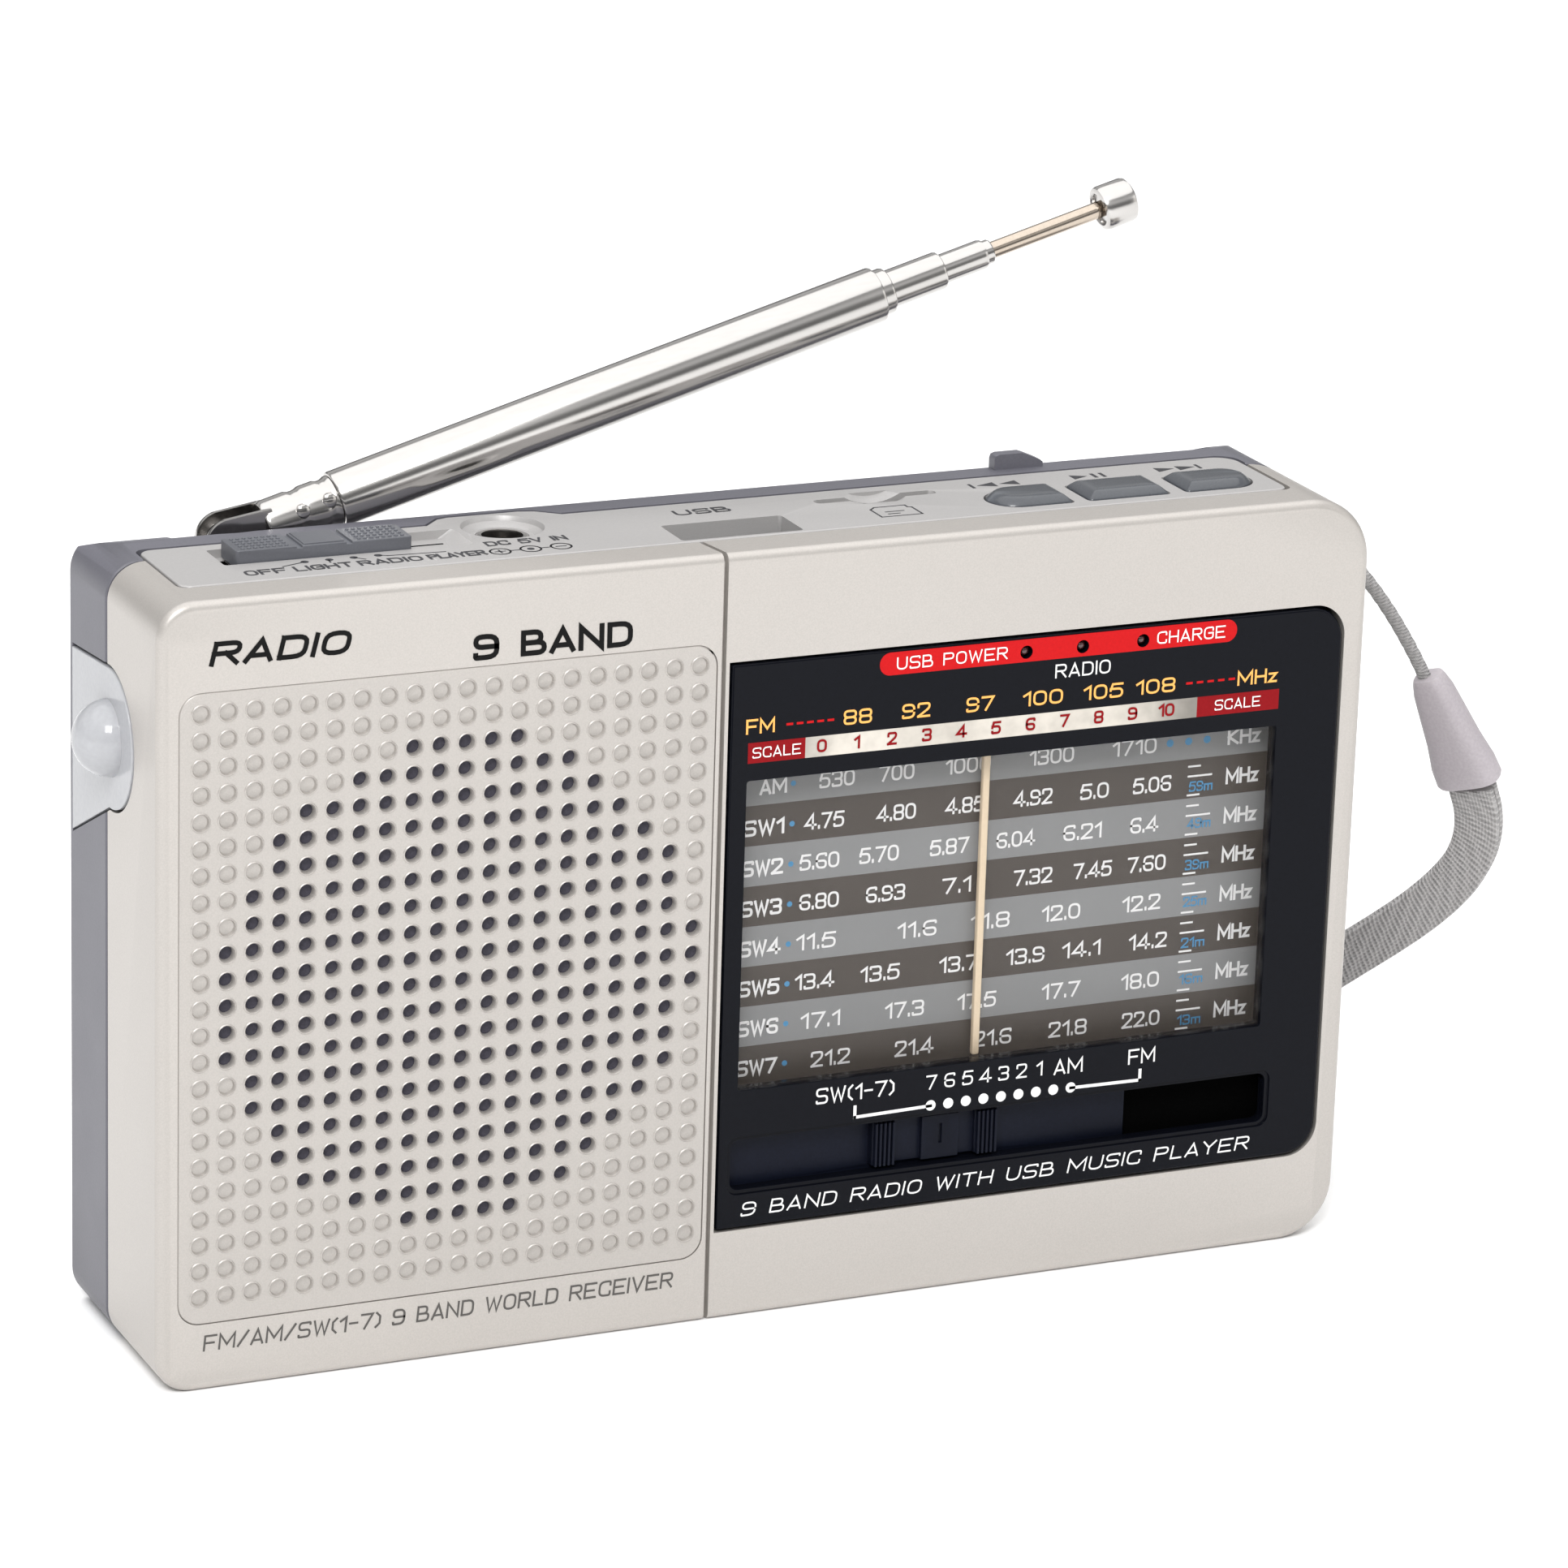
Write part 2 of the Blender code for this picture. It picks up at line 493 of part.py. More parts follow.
def dial_drive():
    groove = CORD_RADIUS + GAP
    tube_curve("dial_cord", belt([
        (POSTS_X[0], POST_Z, POST_RADIUS + groove), (POSTS_X[1], POST_Z, POST_RADIUS + groove),
        (TUNING_X, TUNING_Z, SPINDLE_RADIUS + groove), (DRUM_X, DRUM_Z, DRUM_RADIUS + groove)]),
        CORD_RADIUS, "strap_fabric", closed=True)
    low, high = WHEEL_Y
    add("tuning_knob", turned("Y", (TUNING_X, TUNING_Z), (
        (SPINDLE_RADIUS, CORD_Y - 0.6), (SPINDLE_RADIUS, low), (TUNING_RADIUS - 0.4, low),
        (TUNING_RADIUS, low + 0.4), (TUNING_RADIUS, high - 0.4), (TUNING_RADIUS - 0.4, high), (2.0, high),
        (2.0, high + 2.4)), 48), "dark_plastic")
    add("capacitor_drum", turned("Y", (DRUM_X, DRUM_Z), (
        (DRUM_RADIUS, CORD_Y - 0.6), (DRUM_RADIUS, CORD_Y + 0.7), (2.5, CORD_Y + 0.7), (2.5, CORD_Y + 1.2)),
        32), "dark_plastic")
    capacitor = add("tuning_capacitor", block((DRUM_X - 10, CORD_Y + 1.5, DRUM_Z - 10),
                                              (DRUM_X + 10, BOARD_Y - GAP, DRUM_Z + 10)), "clear")
    plate_space = block((DRUM_X - 8.8, CORD_Y + 2.7, DRUM_Z - 8.8), (DRUM_X + 11, BOARD_Y - 1.2, DRUM_Z + 8.8))
    cut(capacitor, plate_space, "plate_space")
    centre = (VOLUME_X, VOLUME_Z)
    add("volume_knob", turned("Y", centre, (
        (VOLUME_RADIUS - 0.4, low), (VOLUME_RADIUS, low + 0.4), (VOLUME_RADIUS, high - 0.4),
        (VOLUME_RADIUS - 0.4, high)), 40), "dark_plastic")
    add("volume_control", turned("Y", centre, ((6.5, high + GAP), (6.5, BOARD_Y - GAP)), 20), "dark_plastic")


# ---- switches, sockets and boards ----------------------------------------------------------------------


def band_switch():
    _, z0, _, z1 = BAND_SLOT
    knob = add("band_switch_knob", block((-19.5, FRONT + 2.1, z0 - 1.0), (41.2, FRONT + 2.8, z1 + 1.0)),
               "dark_plastic")
    low, high = z0 + 0.4, z1 - 0.4
    for start, end, proud in ((10.3, 12.9, 1.5), (12.6, 22.4, 0.5), (16.0, 20.3, 1.1), (22.1, 24.7, 1.5)):
        fuse(knob, block((start, FRONT + 2.0 - proud, low), (end, FRONT + 2.5, high)), f"grip_{start:.0f}")
    fuse(knob, block((17.2, FRONT + 2.3, 15.9), (19.2, BAND_BODY_Y - GAP, 18.0)), "stem")
    add("band_switch_body", block((6.0, BAND_BODY_Y, 11.6), (46.0, BOARD_Y - GAP, 21.4)), "steel")


def top_panel():
    low = TOP - PANEL_THICK
    panel = add("top_panel", prism("Z", panel_outline(-GAP / 2), low, TOP - 0.05), "panel_plastic")
    openings = prism("Z", rounded(*USB, 0.4, 2), low - 1, TOP + 1)
    prism("Z", rounded(*CARD_SLOT, 0.5, 2), low - 1, TOP + 1, openings)
    hole = JACK_HOLE + GAP
    turned("Z", (JACK_X, JACK_Y), ((hole, low - 1), (hole, TOP - 0.9), (4.2, TOP - 0.1), (4.2, TOP + 1)), 24,
           openings)
    for name, span in BUTTONS.items():
        prism("Z", button_outline(name, span, GAP), low - 1, TOP + 1, openings)
    cut(panel, openings, "openings")
    x0, y0, x1, y1 = FUNCTION_RECESS
    cut(panel, loft("Z", ((TOP - 0.9, rounded(x0, y0, x1 - 1.6, y1, 0.3, 1)),
                          (TOP + 0.1, rounded(x0, y0, x1, y1, 0.3, 1)))), "switch_recess")
    cut(panel, block((x0 + 6, -1.6, low - 1), (x0 + 6 + 2.6 + 4 * FUNCTION_STEP, 0.9, TOP)), "stem_slot")


def button_outline(name, span, clearance=0.0):
    """Plan of a key: the outer keys have a half-round end, the middle one is a rectangle."""
    x0, x1 = span
    y0, y1 = BUTTON_Y
    full = (y1 - y0) / 2
    radii = {"skip_back_button": (full, 0.4, 0.4, full), "play_button": 0.4,
             "skip_forward_button": (0.4, full, full, 0.4)}[name]
    if isinstance(radii, tuple):
        radii = tuple(r + clearance if r == full else r for r in radii)
    return rounded(x0 - clearance, y0 - clearance, x1 + clearance, y1 + clearance, radii, 4)


def buttons():
    for number, (name, span) in enumerate(BUTTONS.items(), 1):
        top = TOP + BUTTON_PROUD
        add(name, loft("Z", (
            (TOP - 2.7, button_outline(name, span)), (TOP + 0.1, button_outline(name, span)),
            (top - 0.2, button_outline(name, span, -0.6)), (top, button_outline(name, span, -1.1)))),
            "button_rubber")
        middle = sum(span) / 2
        y = sum(BUTTON_Y) / 2
        switch = add(f"key_switch_{number}", block((middle - 3, y - 1.9, 76.0), (middle + 3, y + 1.9, 79.0)),
                     "dark_plastic")
        fuse(switch, turned("Z", (middle, y), ((1.2, 78.5), (1.2, 79.5)), 12), "plunger")
    add("key_board", block((25.4, -8.2, 74.6), (57.4, -1.9, 75.7)), "board")


def function_switch():
    x0, _, x1, _ = FUNCTION_RECESS
    left, right = x0 + 1.3, x1 - 6.7
    knob = add("function_knob", loft("Z", (
        (TOP - 0.6, rounded(left, -2.1, right, 1.5, 0.3, 1)), (TOP + 0.8, rounded(left, -2.1, right, 1.5, 0.3, 1)),
        (TOP + 1.0, rounded(left + 0.2, -1.9, right - 0.2, 1.3, 0.3, 1)))), "slate_plastic")
    cut(knob, block((left + 6.8, -3, TOP + 0.75), (right - 6.8, 3, TOP + 2)), "thumb_dip")
    middle = x0 + 6 + 0.3 + 1.0
    fuse(knob, block((middle - 1.0, -1.1, 78.6), (middle + 1.0, 0.4, TOP - 0.5)), "stem")
    body = block((middle - 5, -3.3, 72.0), (middle + 5 + 3 * FUNCTION_STEP, 2.6, 78.3))
    add("function_switch_body", body, "steel")


def sockets():
    low = TOP - PANEL_THICK
    centre, hole = (JACK_X, JACK_Y), JACK_HOLE + 0.1
    jack = add("dc_jack", turned("Z", centre, (
        (3.8, 71.8), (3.8, low - GAP), (hole, low - GAP), (hole, TOP - 1.0)), 20), "chrome")
    cut(jack, turned("Z", centre, ((JACK_HOLE - 0.4, 73.6), (JACK_HOLE - 0.4, TOP)), 20), "bore")
    fuse(jack, turned("Z", centre, ((0.85, 73.0), (0.85, 80.0)), 8), "centre_pin")
    x0, y0, x1, y1 = USB
    usb = add("usb_socket", block((x0 - 0.4, y0 - 0.4, 68.6), (x1 + 0.4, y1 + 0.4, low - GAP)), "steel")
    cut(usb, block((x0 + 0.1, y0 + 0.1, 69.2), (x1 - 0.1, y1 - 0.1, TOP)), "mouth")
    fuse(usb, block((x0 + 1.2, y1 - 2.5, 68.9), (x1 - 1.2, y1 - 0.7, 77.4)), "tongue")
    x0, y0, x1, y1 = CARD_SLOT
    front = BOARD_Y + BOARD_THICK + GAP
    card = add("card_socket", block((x0 - 0.7, front, 67.5), (x1 + 0.7, y1 + 0.9, low - GAP)), "steel")
    cut(card, block((x0 + 0.1, y0 + 0.1, 69.0), (x1 - 0.1, y1 - 0.1, TOP)), "mouth")
    shoulder = RIGHT - WALL - GAP
    phones = add("headphone_jack", turned("X", (PHONES_Y, PHONES_Z), (
        (3.2, 53.2), (3.2, shoulder), (2.6, shoulder), (2.6, RIGHT - 0.1)), 24), "dark_plastic")
    cut(phones, turned("X", (PHONES_Y, PHONES_Z), ((1.8, 54.5), (1.8, RIGHT + 1)), 24), "bore")


def main_board():
    back = BOARD_Y + BOARD_THICK
    board = add("main_board", block((-7.0, BOARD_Y, 7.0), (63.5, back, 72.2)), "board")
    cut(board, block((-8.0, BOARD_Y - 1, -1), (-3.0, BOARD_Y + 3, 20.0)), "corner_notch")
    fuse(board, block((30.0, back - 0.3, 60.0), (41.0, back + 1.6, 68.0)), "tuner_chip")


def aerial_coil():
    rod = turned("X", (6.8, 59.0), ((3.6, -36.0), (4.0, -35.6), (4.0, 33.6), (3.6, 34.0)), 14)
    add("ferrite_rod", rod, "ferrite")
    coil = add("ferrite_coil", turned("X", (6.8, 59.0), ((4.9, -30.0), (4.9, -8.0)), 16), "copper_wire")
    cut(coil, turned("X", (6.8, 59.0), ((4.3, -32.0), (4.3, -6.0)), 16), "former_bore")


def battery():
    x0, z0, x1, z1 = BATTERY
    outline = rounded(x0 + GAP, z0 + GAP, x1 - GAP - 2.2, z1 - GAP, 1.0, 2)
    add("battery_pack", prism("Y", outline, *BATTERY_Y), "battery_wrap")
    holder = block((x1 - 1.9, BATTERY_Y[0] + 0.2, z0 + 8), (x1 + 0.4, 11.0, z1 - 8))
    contacts = add("battery_contacts", holder, "dark_plastic")
    springs = bmesh.new()
    for i in range(3):
        z = z0 + 12 + 5 * i
        block((x1 - 2.0, BATTERY_Y[0] + 1.2, z - 1), (x1 - 1.0, 10.0, z + 1), springs)
    fuse(contacts, springs, "blades")


def torch():
    radius, centre = TORCH_RADIUS, (TORCH_Y, TORCH_Z)
    lens = add("torch_lens", prism("X", torch_outline(radius), LEFT - 0.15, LEFT + 0.9), "clear")
    rise = 0.98 * TORCH_DOME
    dome = [(TORCH_DOME * cos(radians(a)), LEFT - rise * sin(radians(a))) for a in (80, 60, 40, 20)]
    fuse(lens, turned("X", centre, (*dome, (TORCH_DOME, LEFT + 0.3)), 24), "dome")
    rim = radius - 0.2
    reflector = add("torch_reflector", turned("X", centre, (
        (rim, LEFT + 1.2), (rim, LEFT + 2.0), (2.9, LEFT + 6.0), (2.9, LEFT + 7.0)), 20), "chrome")
    cut(reflector, turned("X", centre, (
        (radius - 0.9, LEFT), (radius - 0.9, LEFT + 1.7), (2.0, LEFT + 5.8), (2.0, LEFT + 8)), 20), "bowl")
    led = ((0.6, LEFT + 3.6), (1.4, LEFT + 4.3), (1.5, LEFT + 7.3), (2.4, LEFT + 7.3), (2.4, LEFT + 8.6))
    add("torch_led", turned("X", centre, led, 12), "clear")


# ---- aerial --------------------------------------------------------------------------------------------


def tilt(obj):
    """Turns an aerial piece, which is modelled level from its pivot, up to its resting slope."""
    slope = Matrix.Translation(Vector(PIVOT) * MM) @ Matrix.Rotation(-radians(AERIAL_TILT), 4, "Y")
    for item in (obj, *(modifier.object for modifier in obj.modifiers)):
        item.matrix_world = slope


def aerial():
    x, y, z = PIVOT
    swivel = add("aerial_swivel", turned("Z", (x, y), (
        (0.7, STEP_Z - 2.3), (0.7, STEP_Z - 0.3), (1.9, STEP_Z - 0.3), (1.9, STEP_Z + 0.1)), 16), "chrome")
    lug = [(x - 1.6, STEP_Z - 0.1), (x + 1.6, STEP_Z - 0.1)] + circle(x, z, 1.6, 16)[0:9]
    fuse(swivel, prism("Y", lug, y - 1.0, y + 1.0), "lug")
    cut(swivel, prism("Y", circle(x, z, 0.8, 10), y - 3, y + 3), "pin_hole")
    knuckle = add("aerial_knuckle", turned("X", (0, 0), ((KNUCKLE_RADIUS, 4.0), (KNUCKLE_RADIUS, 12.0)), 20),
                  "chrome")
    rounded_end = [(CHEEK_RADIUS * sin(-pi * i / 8), CHEEK_RADIUS * cos(pi * i / 8)) for i in range(9)]
    cheek = [(5.0, KNUCKLE_RADIUS - 0.8)] + rounded_end + [(5.0, 0.8 - KNUCKLE_RADIUS)]
    for name, side in (("front", -1), ("rear", 1)):
        fuse(knuckle, prism("Y", cheek, side * 1.6 - 0.3, side * 1.6 + 0.3), f"{name}_cheek")
    cut(knuckle, turned("X", (0, 0), ((KNUCKLE_BORE, 7.7), (KNUCKLE_BORE, 13.0)), 16), "tube_socket")
    cut(knuckle, prism("Y", circle(0, 0, 0.8, 10), -3, 3), "pin_hole")
    tilt(knuckle)
    pin = ((0.9, -2.5), (0.9, -2.2), (0.5, -2.2), (0.5, 2.2), (0.9, 2.2), (0.9, 2.5))
    tilt(add("aerial_pivot_pin", turned("Y", (0, 0), pin, 10), "steel"))
    for name, radius, bore, start, end in TUBES:
        neck = ((NECK_RADIUS, 8.0), (NECK_RADIUS, start)) if name == "aerial_tube_1" else ()
        profile = (*neck, (radius, start), (radius, end - 0.3), (radius - 0.12, end))
        tube = add(name, turned("X", (0, 0), profile, 20), "chrome")
        cut(tube, turned("X", (0, 0), ((bore, start + 0.8), (bore, end + 1)), 20), "bore")
        tilt(tube)
    start, end = ROD_END, ROD_END + TIP_LENGTH
    tilt(add("aerial_rod", turned("X", (0, 0), (
        (ROD_RADIUS, ROD_START), (ROD_RADIUS, start + 0.5), (TIP_RECESS, start + 0.5), (TIP_RECESS, start),
        (TIP_RADIUS - 0.4, start), (TIP_RADIUS, start + 0.4), (TIP_RADIUS, end - 0.4), (TIP_RADIUS - 0.4, end)),
        16), "chrome"))


# ---- wrist strap ---------------------------------------------------------------------------------------

def bridged(rings):
    """A closed solid through rings of points, which have equally many points each."""
    mesh_edit = bmesh.new()
    loops = [[mesh_edit.verts.new(point) for point in ring] for ring in rings]
    mesh_edit.faces.new(loops[0])
    mesh_edit.faces.new(loops[-1])
    for lower, upper in zip(loops, loops[1:]):
        for i in range(len(lower)):
            j = (i + 1) % len(lower)
            mesh_edit.faces.new((lower[i], lower[j], upper[j], upper[i]))
    return mesh_edit


def strap():
    bar = turned("Z", (RIGHT - 1.5, STRAP_Y), ((0.6, STRAP_Z - 3.0), (0.6, STRAP_Z + 3.0)), 8)
    add("strap_bar", bar, "steel")
    tube_curve("strap_cord", smooth_line(STRAP_CORD, 1.8), 0.75, "strap_fabric")
    top, bottom = Vector(SLEEVE_TOP), Vector(SLEEVE_BOTTOM)
    along = (bottom - top).normalized()
    across = along.cross(BAND_FACING).normalized()
    facing = across.cross(along).normalized()
    section = ((-1, -0.5), (-0.7, -1), (0.7, -1), (1, -0.5), (1, 0.5), (0.7, 1), (-0.7, 1), (-1, 0.5))
    rings = []
    sizes = ((0, 3.6, 3.2), (0.12, 4.4, 3.8), (0.6, 6.0, 4.0), (0.8, 7.6, 4.2), (1, 7.6, 4.2))
    for share, width, thick in sizes:
        centre = top.lerp(bottom, share)
        rings.append([centre + across * a * width / 2 + facing * b * thick / 2 for a, b in section])
    sleeve = add("strap_sleeve", bridged(rings), "sleeve_plastic")
    square = ((-1.4, -1.25), (1.4, -1.25), (1.4, 1.25), (-1.4, 1.25))
    ends = (top - along, top + along * 8)
    bore = [[centre + across * a + facing * b for a, b in square] for centre in ends]
    cut(sleeve, bridged(bore), "cord_bore")
    webbing()


def webbing():
    """The flat band along its middle line, with its width upright to the line, and its ends closed."""
    rings = []
    for i, point in enumerate(WEBBING):
        ahead = Vector(WEBBING[min(i + 1, len(WEBBING) - 1)]) - Vector(WEBBING[max(i - 1, 0)])
        across = ahead.cross(BAND_FACING).normalized()
        facing = across.cross(ahead).normalized()
        rings.append([Vector(point) + across * a * WEBBING_WIDTH / 2 + facing * b * WEBBING_THICK / 2
                      for a, b in ((-1, -1), (1, -1), (1, 1), (-1, 1))])
    add("strap_webbing", bridged(rings), "strap_fabric")


def set_origin(name, point):
    """Moves the object's origin to point, on its joint's axis, and leaves its shape where it is."""
    moved = bpy.data.objects[name]
    offset = Vector(point) * MM
    moved.data.transform(Matrix.Translation(-offset))
    moved.location += offset


def set_origins():
    set_origin("tuning_knob", (TUNING_X, CORD_Y, TUNING_Z))
    set_origin("capacitor_drum", (DRUM_X, CORD_Y, DRUM_Z))
    set_origin("volume_knob", (VOLUME_X, WHEEL_Y[0], VOLUME_Z))
    set_origin("dial_pointer", (POINTER_X, SCALE_Y, POST_Z))
    set_origin("band_switch_knob", (18.2, FRONT + 2.5, sum(BAND_SLOT[1::2]) / 2))
    set_origin("function_knob", (FUNCTION_RECESS[0] + 10, -0.3, TOP))
    for name, span in BUTTONS.items():
        set_origin(name, (sum(span) / 2, sum(BUTTON_Y) / 2, TOP))
    set_origin("battery_door", ((BATTERY[0] + BATTERY[2]) / 2, REAR, (BATTERY[1] + BATTERY[3]) / 2))
    set_origin("aerial_swivel", PIVOT)


def main():
    clear_scene()
    front_cover()
    speaker_grille()
    rear_cover()
    battery_door()
    case_screws()
    speaker()
    dial()
    pointer()
    dial_drive()
    band_switch()
    top_panel()
    buttons()
    function_switch()
    sockets()
    main_board()
    aerial_coil()
    battery()
    torch()
    aerial()
    strap()
    set_origins()
    for item in bpy.data.objects:
        item.location += Vector(MIDDLE_SHIFT) * MM


main()
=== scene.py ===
"""The looks of the shortwave receiver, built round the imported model.

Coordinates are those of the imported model: +X right, +Y into the case, +Z up. Sizes here are in millimetres, and
the pieces are made in the case's own frame, which SHIFT moves into that of the model.
"""

from itertools import accumulate
from math import ceil, cos, hypot, pi, radians, sin

import bmesh
import bpy
from mathutils import Matrix, Vector


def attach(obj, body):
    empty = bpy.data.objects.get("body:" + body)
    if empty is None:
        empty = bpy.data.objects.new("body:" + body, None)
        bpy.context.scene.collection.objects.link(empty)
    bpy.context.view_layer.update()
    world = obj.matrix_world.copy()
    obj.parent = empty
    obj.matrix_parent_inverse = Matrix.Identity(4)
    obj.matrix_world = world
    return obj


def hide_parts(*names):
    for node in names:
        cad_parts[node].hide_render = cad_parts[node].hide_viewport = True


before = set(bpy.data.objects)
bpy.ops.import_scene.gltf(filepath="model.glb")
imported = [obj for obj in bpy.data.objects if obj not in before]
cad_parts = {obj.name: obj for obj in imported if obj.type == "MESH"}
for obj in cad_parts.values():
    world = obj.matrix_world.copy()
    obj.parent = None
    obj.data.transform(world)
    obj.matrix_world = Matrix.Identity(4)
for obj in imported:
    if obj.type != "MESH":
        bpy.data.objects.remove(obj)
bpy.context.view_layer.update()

MM = 0.001
SHIFT = Vector((1.48, -0.6, 0))
GAP = 0.3

PITCH = 2.8
WIDTH, HEIGHT, DEPTH = 48 * PITCH, 83.3, 28.0
RIGHT, TOP, REAR = WIDTH / 2, HEIGHT, DEPTH / 2
LEFT, FRONT = -RIGHT, -REAR
CORNER, CORNER_LOWER_RIGHT, CORNER_UPPER_RIGHT = 3.8, 6.4, 7.0
WALL = 1.8
SEAM = 2.0
SEAM_LIP = ((0.24, 0.16), (0.38, 0.0))
STEP_X, STEP_Y, STEP_Z = (-58.0, 60.0), 9.0, 78.2

GRILLE_COLUMNS, GRILLE_ROWS = 20, 23
GRILLE_LEFT, GRILLE_BOTTOM = -62.72, 10.22
GRILLE_PLATE = (-65.0, 7.3, -7.6, 74.0)
SOUND_COLUMN, SOUND_ROW, SOUND_RADIUS = 9.9, 11, 9.263
GRILLE_THICK = 0.75
SEAM_LINE_X = -6.9

BEZEL = (-6.1, 9.9, 64.5, 71.7)
WINDOW = (-4.0, 25.3, 57.0, 59.0)
BAND_SLOT = (-4.5, 14.2, 58.1, 19.7)
BEZEL_CORNER, GRILLE_CORNER = 3.6, 2.4
SCALE_Y = -10.2
POINTER_X = 24.6
LED_X = (27.2, 33.7, 40.7)
LED_Z = 69.9
TUNING = (55.1, 47.0, 13.0)
VOLUME = (58.1, 21.0, 10.0)
WHEEL_Y = (-7.3, -4.5)

PANEL = (-63.0, -8.6, 60.2, 5.5)
PANEL_THICK, PANEL_GAP = 1.8, 0.24
JACK = (-24.7, 2.6)
JACK_HOLE = 2.5
USB = (-9.2, -7.9, 4.3, -2.0)
CARD_SLOT = (9.7, 0.9, 23.5, 2.3)
FUNCTION_RECESS = (-56.3, -2.4, -29.6, 3.4)
BUTTONS = {"skip_back": (27.2, 35.7, "left"), "play": (37.6, 46.9, None), "skip_forward": (49.0, 57.7, "right")}
BUTTON_Y = (-6.6, -0.6)
BUTTON_CORNER, BUTTON_PROUD = 0.45, 0.9

TORCH_Y, TORCH_Z, TORCH_RADIUS, TORCH_DOME = 0.8, 65.5, 7.3, 4.0
STRAP_Y, STRAP_Z = 6.0, 73.5
PHONES = (6.4, 30.0)
BATTERY = (-30.0, 13.0, 23.0, 47.0)
DOOR_MARGIN = 3.4
SCREWS = [(x, z) for x in (-60, 60) for z in (4.6, 74.8)]

PIVOT = (-51.0, 12.3, 81.45)
AERIAL_TILT, PIVOT_RADIUS = 16.1, 0.8
TUBES = (("aerial_tube_1", "mast", 3.0, 2.72, 12.3, 74.9), ("aerial_tube_2", "mast_2", 2.5, 2.25, 13.6, 76.2),
         ("aerial_tube_3", "mast_3", 2.05, 1.8, 14.8, 82.5), ("aerial_tube_4", "mast_4", 1.6, 1.1, 16.0, 87.6))

STRAP_CORD = ((66.8, 6.0, 73.5), (70.2, 5.9, 73.4), (72.6, 5.4, 72.6), (75.2, 4.7, 70.6), (77.6, 4.0, 67.8),
              (79.9, 3.4, 64.6), (82.0, 2.9, 61.2), (83.8, 2.5, 57.9), (85.4, 2.3, 54.7), (86.9, 2.2, 51.8))
SLEEVE_TOP, SLEEVE_BOTTOM = (84.5, 2.4, 57.3), (90.6, 2.0, 44.6)
# Each is a share of the way down the sleeve, its width there and its thickness.
SLEEVE_SHAPE = (
    (0.0, 2.2, 2.0), (0.01, 3.2, 2.9), (0.05, 3.7, 3.2), (0.14, 4.4, 3.6), (0.35, 5.2, 3.8), (0.6, 6.1, 4.0),
    (0.74, 6.9, 4.1), (0.82, 7.4, 4.2), (0.97, 7.6, 4.2), (1.0, 7.2, 3.8), (1.0, 5.9, 2.9), (0.93, 5.8, 2.8))
WEBBING = ((90.9, 2.0, 43.9), (91.9, 2.1, 40.8), (92.3, 2.8, 37.4), (91.9, 4.2, 34.0), (90.9, 6.4, 30.7),
           (89.2, 9.0, 27.4), (86.9, 11.9, 24.1), (84.0, 14.9, 20.7), (80.6, 17.8, 17.1), (76.8, 20.4, 13.4),
           (72.6, 22.6, 9.8), (68.0, 24.4, 6.7), (63.0, 25.8, 4.5), (57.6, 26.8, 3.5), (52.0, 27.4, 3.1),
           (46.4, 27.7, 3.0))
BAND_FACING = Vector((0.72, 0.62, 0.32))
WEBBING_WIDTH = 5.2

CAMERA_LENS, CAMERA_ROLL = 151.86, 1.80
CAMERA_AT, CAMERA_FACING = (-0.26387, -0.60229, 0.26487), Vector((0.39213, 0.86786, -0.30505))

PATCH_SIZE = 22.0
# The second range is the Pointiness span over which convex edges are lightened, a painted highlight.
NOISE_RANGE, EDGE_HIGHLIGHT_RANGE = (0.3, 0.7), (0.52, 0.62)
CUT, ADD = "DIFFERENCE", "UNION"

# Where print lies: what it faces, and how far along that axis.
BEZEL_FACE, SCALE_FACE, COVER_FACE = ("front", FRONT - 0.1), ("front", SCALE_Y), ("front", FRONT)
PANEL_FACE = ("top", TOP + 0.02)
INK_SUNK = 0.05


# ---- materials -----------------------------------------------------------------------------------------


def add_node(owner, kind, *values, operation=None, output=0, **named):
    """Adds a shader node to a material or world, and returns one of its outputs.

    Each value is a number, a tuple or another node's output. A named value goes to the input of that name, where an
    underscore stands for a space."""
    tree = owner.node_tree
    node = tree.nodes.new("ShaderNode" + kind)
    if operation:
        node.operation = operation
    for key, value in (*enumerate(values), *named.items()):
        socket = node.inputs[key if isinstance(key, int) else key.replace("_", " ")]
        if isinstance(value, bpy.types.NodeSocket):
            tree.links.new(value, socket)
        else:
            socket.default_value = value
    return node.outputs[output]


